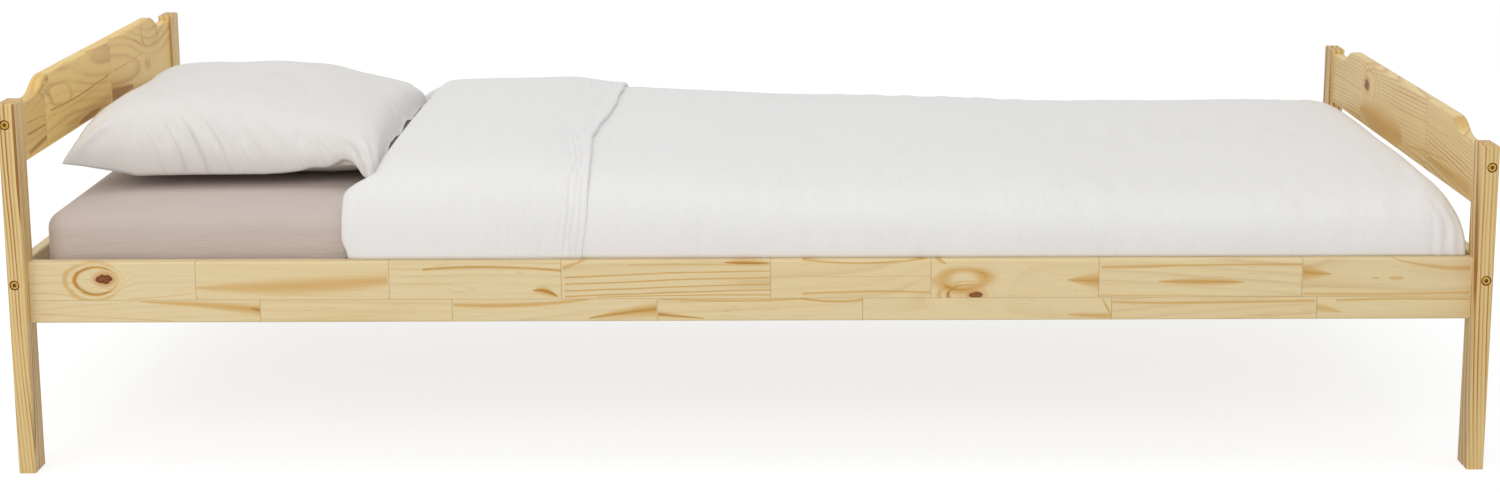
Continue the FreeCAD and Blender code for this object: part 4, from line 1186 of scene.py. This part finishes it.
    def edges(self, points, share, size):
        """Lets the open side's lip and the front seam near it wave up and down."""
        u, v = share.T[:2]
        p, q = u * size[0] / 2, v * size[1] / 2
        lip = smooth_step(u, 0.86, 1.0)
        seam = smooth_step(-v, 0.88, 1.0) * smooth_step(u, 0.1, 0.6)
        wave = waves(q, 0 * q, ((0.16, 1.0, 2, 0.1), (0.07, 0.35, 2, 0.1)), 59)
        ruffle = waves(p, 0 * p, ((0.062, 1.0, 2, 0.1), (0.03, 0.4, 2, 0.1)), 63)
        points[:, 0] -= lip * 1.2 * MM * (1 + np.tanh(wave))
        points[:, 2] += lip * 2.4 * MM * wave + seam * 3.0 * MM * ruffle
        return points


class DuvetForm:
    """The duvet's sections and its path from the folded head end to the foot."""

    # Half width, place of the turned-back hem, and rounding of the foot
    wide, edge, round = 461.6 * MM, -227 * MM, 55 * MM
    # Radius of the folded head end, and how far that end reaches past the solid
    nose, overhang = 28 * MM, 6 * MM
    # Room between the inner surface and the sheet, and the inner surface's own rounding
    side_gap, top_gap, foot_gap = 2.7 * MM, 0.7 * MM, 2.2 * MM
    inner_bend, inner_corner = 27 * MM, 34 * MM
    # How far the top sinks, where that starts and over what length, and the depth and place of its two dips
    sunk, sink_start, sink_run = 28.5 * MM, 27 * MM, 900 * MM
    dip, dips = 3.2 * MM, ((70 * MM, 100 * MM), (660 * MM, 120 * MM))
    # The head end's drop, and the foot corners' radius at the hem and what it gains on the way up
    brow_share, brow_run = 0.055, 120 * MM
    corner_low, corner_more = 10 * MM, 18 * MM
    fall_steps = 40

    def __init__(self, settings):
        lowest, highest = low("duvet_cover"), high("duvet_cover")
        under = high("fitted_sheet")
        self.head, self.foot, self.hem = lowest[0] - self.overhang, highest[0], lowest[2]
        self.inner_wide = under[1] + self.side_gap
        self.inner_top = under[2] + self.top_gap
        self.inner_foot = under[0] + self.foot_gap
        self.tall = self.inner_top + settings.loft - self.hem
        self.turned = settings.turned

    def outer_path(self):
        """Path of the outer surface over the middle of the bed, as rows of (x, share of thickness, lift).
        The head end is folded: x = head + nose * (1 - cos t), thickness (sin t + sin 60) / (1 + sin 60)
        from -60 to 90 degrees. The turned-back layer thins towards its hem, which ends in a part circle."""
        back = math.radians(60)
        t = np.linspace(-back, np.pi / 2, 22)
        swell = (np.sin(t) + np.sin(back)) / (1 + np.sin(back))
        fold = [self.head + self.nose * (1 - np.cos(t)), swell, 0 * t + self.turned]
        coarse = np.linspace(self.head + self.nose + 9 * MM, self.edge - 75 * MM, 30)
        x = np.concatenate([coarse, self.edge - np.arange(72, 5, -1.7) * MM])
        thinned = 1 - 0.54 * smooth_step(x, self.edge - 95 * MM, self.edge - 12 * MM)
        over = [x, 0 * x + 1, self.turned * thinned]
        t = np.linspace(np.pi / 2, -math.radians(62), 9)
        lip = 0.23 * self.turned
        hem = [self.edge + lip * (np.cos(t) - 1), 0 * t + 1, lip * (1 + np.sin(t))]
        past = np.concatenate([[-1.6, 1.0, 4, 8, 13, 19], np.arange(27, 60, 9)])
        x = self.edge + past * MM
        after = [x, 0 * x + 1, np.interp(past, [-2, 1, 8, 19], [0.3, 0, -0.4, 0]) * MM]
        x = np.linspace(x[-1] + 9 * MM, self.foot - self.round - 8 * MM, 118)
        rest = [x, 0 * x + 1, 0 * x]
        return np.concatenate([np.stack(part, 1) for part in (fold, over, hem, after, rest)])

    def foot_fall(self, number):
        """The foot end, as shares of height at x, at even steps of its length, for both surfaces.
        The outer one is a quarter superellipse,
        x = foot - round * (1 - sin(t) ^ (2 / 2.8)), height cos(t) ^ (2 / 3.0);
        the inner one runs level, turns through a quarter circle and falls straight down."""
        tall = self.inner_top - self.hem
        t = np.linspace(0, np.pi / 2, 400)
        outer = np.stack([self.foot - self.round * (1 - np.sin(t) ** (2 / 2.8)), np.cos(t) ** (2 / 3.0)], 1)
        bend = self.inner_bend
        level = np.linspace(self.foot - self.round, self.inner_foot - bend, 100)
        inner = np.concatenate(
            [
                np.stack([level, 0 * level + 1], 1),
                np.stack([self.inner_foot - bend * (1 - np.sin(t)), 1 - bend / tall * (1 - np.cos(t))], 1),
                np.stack([0 * t + self.inner_foot, np.linspace(1 - bend / tall, 0, len(t))], 1)[1:],
            ]
        )
        result = []
        for line in (outer, inner):
            place = spread_evenly(line * (1, tall), number)
            at = np.arange(len(line))
            result.append(np.stack([np.interp(place, at, line[:, i]) for i in range(2)], 1))
        return result

    def section(self, number, wide_power, tall_power):
        """Half a superellipse from front hem to back hem, as (cos part, sin part), at even steps along it:
        y = -wide * |cos t| ^ (2 / wide power) * sign(cos t), z = tall * (sin t) ^ (2 / tall power)."""
        t = np.linspace(0, np.pi, 4001)
        y = -np.sign(np.cos(t)) * np.abs(np.cos(t)) ** (2 / wide_power)
        z = np.abs(np.sin(t)) ** (2 / tall_power)
        line = np.stack([y * self.wide, z * self.tall], 1)
        place = spread_evenly(line, number)
        at = np.arange(len(t))
        return np.interp(place, at, y), np.interp(place, at, z)

    def drawn_in(self, x, foot, corner):
        """How much narrower a rounded foot corner is at x: corner - root(corner ^ 2 - d ^ 2)."""
        d = np.clip(x - (foot - corner), 0, corner)
        return corner - np.sqrt(np.clip(corner**2 - d**2, 0, None))

    def surfaces(self, columns):
        """Outer and inner surface, as grids of points, and the cloth's own lengths along and across.
        Towards the foot the loft sinks by sunk * (1 - (1 - t) ^ 1.6), with t the share of the way
        from the hem, and in two shallow dips."""
        path = self.outer_path()
        steps = self.fall_steps
        outer_fall, inner_fall = self.foot_fall(steps)
        x, thick, lift = (
            np.concatenate([path[:, i], after])[:, None]
            for i, after in enumerate((outer_fall[:, 0], np.ones(steps), np.zeros(steps)))
        )
        height = np.concatenate([np.ones(len(path)), outer_fall[:, 1]])[:, None]
        inner_x = np.concatenate([np.clip(path[:, 0], self.head, None), inner_fall[:, 0]])[:, None]
        inner_height = np.concatenate([np.ones(len(path)), inner_fall[:, 1]])[:, None]
        y_out, z_out = (line[None] for line in self.section(columns, 9.0, 3.4))
        y_in, z_in = (line[None] for line in self.section(columns, 40.0, 4.0))
        t = np.clip((x - self.edge - self.sink_start) / self.sink_run, 0, 1)
        sink = self.sunk * (1 - (1 - t) ** 1.6)
        for middle, reach in self.dips:
            sink = sink + self.dip * np.exp(-(((x - middle) / reach) ** 2))
        brow = 1 - self.brow_share * np.clip(1 - (x - self.head) / self.brow_run, 0, 1) ** 2
        tall = ((self.tall - sink) * (1 - 0.07 * y_out**2) + lift) * brow
        corner = self.corner_low + self.corner_more * smooth_step(height * z_out, 0.35, 0.9)
        wide = self.wide + 0.22 * lift - self.drawn_in(x, self.foot, corner)
        outer = np.stack(np.broadcast_arrays(x, wide * y_out, self.hem + tall * height * z_out), -1)
        inner_wide = self.inner_wide - self.drawn_in(inner_x, self.inner_foot, self.inner_corner)
        inner = np.stack(
            np.broadcast_arrays(
                inner_x, inner_wide * y_in, self.hem + (self.inner_top - self.hem) * z_in * inner_height
            ), -1,
        )
        outer = inner + (outer - inner) * thick[..., None]
        return outer, inner, run_along(outer[:, columns // 2]), run_along(outer[len(path) // 2])

    def hem_line(self, across_share):
        """How far the turned-back edge runs from straight: towards the head a third of the way from
        the front, towards the foot at the back, with small waves."""
        slant = np.interp(
            across_share, [0, 0.05, 0.12, 0.22, 0.32, 0.42, 0.55, 0.8, 1],
            np.array([-9, -3, 0, -5, -10, -2, 8, 11, 12]) * MM,
        )
        return slant + waves(across_share, 0 * across_share, ((0.13, 1.2 * MM, 3, 0.1),), 71)


def grid_normals(points):
    """Outward directions of a grid of points, from the cross product of its two slopes."""
    along = np.gradient(points, axis=0)
    across = np.gradient(points, axis=1)
    normal = np.cross(along, across)
    return normal / np.maximum(np.linalg.norm(normal, axis=2, keepdims=True), 1e-12)


class MakeDuvet(bpy.types.Operator):
    """Makes the duvet: its head end turned back, its sides hanging to the rails, its foot rounded"""

    bl_idname = "single_bed.make_duvet"
    bl_label = "Make the duvet"
    columns = 180
    under_layer = (0.0, 3.0)
    beside_pillow = (388 * MM, 425 * MM)
    head_reach, bulge, inner_bulge = 70 * MM, 35 * MM, 33 * MM
    bulge_fade, line_reach = (435 * MM, 385 * MM), 160 * MM
    gather_pitch, fine_pitch, tuck_pitch = 9 * MM, 6.2 * MM, 19 * MM
    tuck_height, deepest, spill = 0.9 * MM, 2.5 * MM, 3 * MM

    def execute(self, context):
        settings = context.scene.bed_duvet
        form = DuvetForm(settings)
        outer, inner, along, across = form.surfaces(self.columns)
        outer = self.creased(form, settings, outer, inner, across)
        points, faces = self.closed(outer, inner)
        if enclosed(points, faces) < 0:
            faces = faces[:, ::-1]
        cloth = np.stack(np.broadcast_arrays(along[:, None], across[None]), -1).reshape(-1, 2)
        cloth = np.concatenate([cloth, cloth + self.under_layer])
        cotton = crinkled_cotton("duvet_cotton", tuple(settings.cotton), 0.40)
        piece = make_piece("duvet_in_cover", points, faces, cotton, cloth)
        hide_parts("duvet_cover", "duvet_filling")
        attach(piece, "duvet")
        return {"FINISHED"}

    def creased(self, form, settings, outer, inner, across):
        """Moves the outer surface: the hem's own line, broad puffs, cross creases, gathers beside the hem,
        folds that hang round the foot corners and, beside the pillow, a head end that bulges forwards.
        The puffs, creases and gathers fade out at the lower edge."""
        share_across = (across / across[-1])[None]
        line = form.hem_line(share_across)
        outer[..., 0] += line * np.exp(-(((outer[..., 0] - form.edge) / self.line_reach) ** 2))
        x, y, z = (outer[..., i].copy() for i in range(3))
        normal = grid_normals(outer)
        normal *= np.sign(normal[len(outer) // 2, self.columns // 2, 2])
        from_hem = np.minimum(across, across[-1] - across)[None]
        held = smooth_step(from_hem, 0, 50 * MM) * smooth_step(x, form.head + 2 * MM, form.head + 60 * MM)
        held = held * smooth_step(z, form.hem, form.hem + 30 * MM)
        puffs = waves(x, y, ((0.42, 1.0, 4, 1.2), (0.20, 0.5, 5, 1.5)), 83)
        cross = waves(x, across[None], ((0.055, 1.0, 5, 0.22), (0.028, 0.5, 6, 0.3)), 89)
        patchy = 0.5 + 0.5 * np.tanh(waves(x, across[None], ((0.5, 1.2, 4, 1.5),), 97))
        from_edge = x - (form.edge + line)
        front = smooth_step(share_across, 0.50, 0.10)
        rows = ((0.30, 3.0 * MM, 2, 0.1), (0.11, 1.5 * MM, 3, 0.1))
        sway = waves(share_across, 0 * share_across, rows, 79)
        gather = np.cos(2 * np.pi * (from_edge + sway) / self.gather_pitch)
        gather = gather + 0.5 * np.cos(2 * np.pi * (from_edge - 0.6 * sway) / self.fine_pitch)
        gather = gather * np.exp(-(((from_edge + 20 * MM) / (15 * MM)) ** 2)) * (0.5 + 0.5 * front)
        gather = gather * smooth_step(-from_edge, 4 * MM, 8 * MM)
        corner = smooth_step(x, form.foot - 130 * MM, form.foot - 40 * MM)
        corner = corner * smooth_step(np.abs(y), form.wide - 130 * MM, form.wide - 50 * MM)
        slant = 2 * np.pi * (x - np.abs(y) * 0.8) / self.tuck_pitch
        tucks = np.cos(slant + 1.6 * np.sin(z * 45) + 60 * puffs * MM) * corner
        tucks = tucks * smooth_step(z, form.hem + 100 * MM, form.hem + 20 * MM)
        move = settings.puff * puffs * held + settings.crease * cross * held * patchy
        move = move + settings.gather * gather * smooth_step(from_hem, 0, 12 * MM) + self.tuck_height * tucks
        room = np.minimum(0.4 * np.linalg.norm(outer - inner, axis=2), self.deepest)
        outer = outer + normal * np.maximum(move, -room)[..., None]
        scallop = waves(z, 0 * z, ((0.045, 1.6 * MM, 2, 0.1),), 101)
        scallop = scallop + 8 * MM * smooth_step(z, form.hem + 30 * MM, form.hem)
        forwards = scallop - self.bulge * smooth_step(z, *self.bulge_fade)
        outer[..., 0] += forwards * self.near_pillow(form, x, y)
        inner[..., 0] -= self.inner_bulge * self.near_pillow(form, inner[..., 0], inner[..., 1])
        outer[..., 2] = np.maximum(outer[..., 2], form.hem)
        outer[..., 0] = np.minimum(outer[..., 0], form.foot + self.spill)
        return outer

    def near_pillow(self, form, x, y):
        """1 at the head end beside the pillow: it fades towards the middle of the bed and the foot."""
        beside = smooth_step(np.abs(y), *self.beside_pillow)
        return beside * np.exp(-(((x - form.head) / self.head_reach) ** 2))

    def closed(self, outer, inner):
        """Joins the outer and inner grid along their four edges, so that the duvet is one closed form."""
        rows, columns = outer.shape[:2]
        points = np.concatenate([outer.reshape(-1, 3), inner.reshape(-1, 3)])
        top = grid_faces(rows, columns)
        number = np.arange(rows * columns).reshape(rows, columns)
        ring = np.concatenate([number[0, :-1], number[:-1, -1], number[-1, :0:-1], number[:0:-1, 0]])
        after = np.roll(ring, -1)
        shift = rows * columns
        rim = np.stack([ring, ring + shift, after + shift, after], 1)
        faces = np.concatenate([top[:, ::-1], (top + shift), rim[:, ::-1]])
        return points, faces


# Stage


FLOOR_HALF, FLOOR_DROP = 30.0, 0.4 * MM
FLOOR_TINT = (0.985, 1.0, 1.02)
FLOOR_MOTTLE = 0.985


def seen_directly(tree):
    """1 for the camera, for reflections and through glass, and 0 for all other light."""
    seen = add_node(tree, "LightPath", {}, {})
    return seen.largest(seen.out("Is Glossy Ray")).largest(seen.out("Is Transmission Ray"))


def floor_finish(settings):
    """A white floor: plain for the camera and for reflections, with its own shadow mixed in,
    and a pale bounce for all other light."""
    material = bpy.data.materials.new("pale_floor")
    material.use_nodes = True
    tree = material.node_tree
    tree.nodes.clear()
    place = add_node(tree, "TexCoord", {}, {}, "Object")
    mottle = add_node(tree, "TexNoise", {}, {"Vector": place, "Scale": 3.0, "Detail": 2.0})
    pale = times(FLOOR_TINT, settings.floor_shade)
    colours = {6: (*pale, 1), 7: (*times(pale, FLOOR_MOTTLE), 1)}
    shade = add_node(tree, "Mix", {"data_type": "RGBA"}, {0: mottle, **colours}, 2)
    shadowed = add_node(tree, "BsdfDiffuse", {}, {"Color": shade})
    glow = add_node(tree, "Emission", {}, {"Color": (1, 1, 1, 1), "Strength": settings.floor_white})
    both = add_node(tree, "AddShader", {}, {0: shadowed, 1: glow})
    bounce = add_node(tree, "BsdfDiffuse", {}, {"Color": (0.8, 0.8, 0.8, 1)})
    result = add_node(tree, "MixShader", {}, {0: seen_directly(tree), 1: bounce, 2: both})
    add_node(tree, "OutputMaterial", {}, {"Surface": result})
    return material


def add_light(name, size, power, place, target):
    lamp = bpy.data.lights.new(name, "AREA")
    lamp.shape = "RECTANGLE"
    lamp.size, lamp.size_y = size
    lamp.energy = power
    light = bpy.data.objects.new(name, lamp)
    light.location = place
    light.rotation_euler = (Vector(target) - Vector(place)).to_track_quat("-Z", "Y").to_euler()
    bpy.context.scene.collection.objects.link(light)


FRONT_LIGHT, FRONT_LIGHT_SIZE = (-1.2, -4.6, 3.0), (4.5, 2.4)
TOP_LIGHT, TOP_LIGHT_SIZE = (0, 0.2, 3.6), (4.0, 3.0)
LIT_POINT = (0, 0, 0.3)
CAMERA_LENS, SENSOR_WIDTH = 60.385, 36
CAMERA_PLACE = (0.0219, -3.9271, 1.0916)
CAMERA_TURN = (78.805, 0.2546, 0.2853)
CAMERA_SHIFT = -0.04


class SetStage(bpy.types.Operator):
    """Sets the pale floor, the soft lights and the camera"""

    bl_idname = "single_bed.set_stage"
    bl_label = "Set the stage"

    def execute(self, context):
        scene = context.scene
        settings = scene.bed_stage
        scene.view_settings.view_transform = "Standard"
        square = np.array([(-1, -1), (1, -1), (1, 1), (-1, 1)]) * FLOOR_HALF
        corners = np.insert(square, 2, -FLOOR_DROP, axis=1)
        floor = make_piece("floor", corners, np.array([[0, 1, 2, 3]]), floor_finish(settings))
        world = bpy.data.worlds.new("studio")
        scene.world = world
        world.use_nodes = True
        tree = world.node_tree
        tree.nodes.clear()
        level = settings.room + (1 - settings.room) * seen_directly(tree)
        sky = add_node(tree, "Background", {}, {"Color": (1, 1, 1, 1), "Strength": level})
        add_node(tree, "OutputWorld", {}, {"Surface": sky})
        add_light("front_light", FRONT_LIGHT_SIZE, settings.key, FRONT_LIGHT, LIT_POINT)
        add_light("top_light", TOP_LIGHT_SIZE, settings.top, TOP_LIGHT, LIT_POINT)
        lens = bpy.data.cameras.new("camera")
        lens.lens = CAMERA_LENS
        lens.sensor_width = SENSOR_WIDTH
        lens.shift_y = CAMERA_SHIFT
        camera = bpy.data.objects.new("camera", lens)
        camera.location = CAMERA_PLACE
        camera.rotation_euler = [math.radians(a) for a in CAMERA_TURN]
        scene.collection.objects.link(camera)
        scene.camera = camera
        return {"FINISHED"}


# Panel and registration

GROUPS = {
    "bed_pine": PineSettings,
    "bed_metal": MetalSettings,
    "bed_sheet": SheetSettings,
    "bed_pillow": PillowSettings,
    "bed_duvet": DuvetSettings,
    "bed_stage": StageSettings,
}
OPERATORS = (FinishPine, FinishHardware, MakeMattress, MakeFittedSheet, MakePillow, MakeDuvet, SetStage)


class BedPanel(bpy.types.Panel):
    """Lists the bed's steps and their settings"""

    bl_idname = "VIEW3D_PT_single_bed"
    bl_label = "Single bed"
    bl_space_type = "VIEW_3D"
    bl_region_type = "UI"
    bl_category = "Single bed"

    def draw(self, context):
        for step in OPERATORS:
            self.layout.operator(step.bl_idname)
        for name, group in GROUPS.items():
            box = self.layout.box()
            for key in group.__annotations__:
                box.prop(getattr(context.scene, name), key)


def register():
    for group in GROUPS.values():
        bpy.utils.register_class(group)
    for name, group in GROUPS.items():
        setattr(bpy.types.Scene, name, PointerProperty(type=group))
    for kind in (*OPERATORS, BedPanel):
        bpy.utils.register_class(kind)


def unregister():
    for kind in (BedPanel, *reversed(OPERATORS)):
        bpy.utils.unregister_class(kind)
    for name in GROUPS:
        delattr(bpy.types.Scene, name)
    for group in GROUPS.values():
        bpy.utils.unregister_class(group)


def main():
    register()
    bpy.ops.single_bed.finish_pine()
    bpy.ops.single_bed.finish_hardware()
    bpy.ops.single_bed.make_mattress()
    bpy.ops.single_bed.make_fitted_sheet()
    bpy.ops.single_bed.make_pillow()
    bpy.ops.single_bed.make_duvet()
    bpy.ops.single_bed.set_stage()


if __name__ == "__main__":
    main()
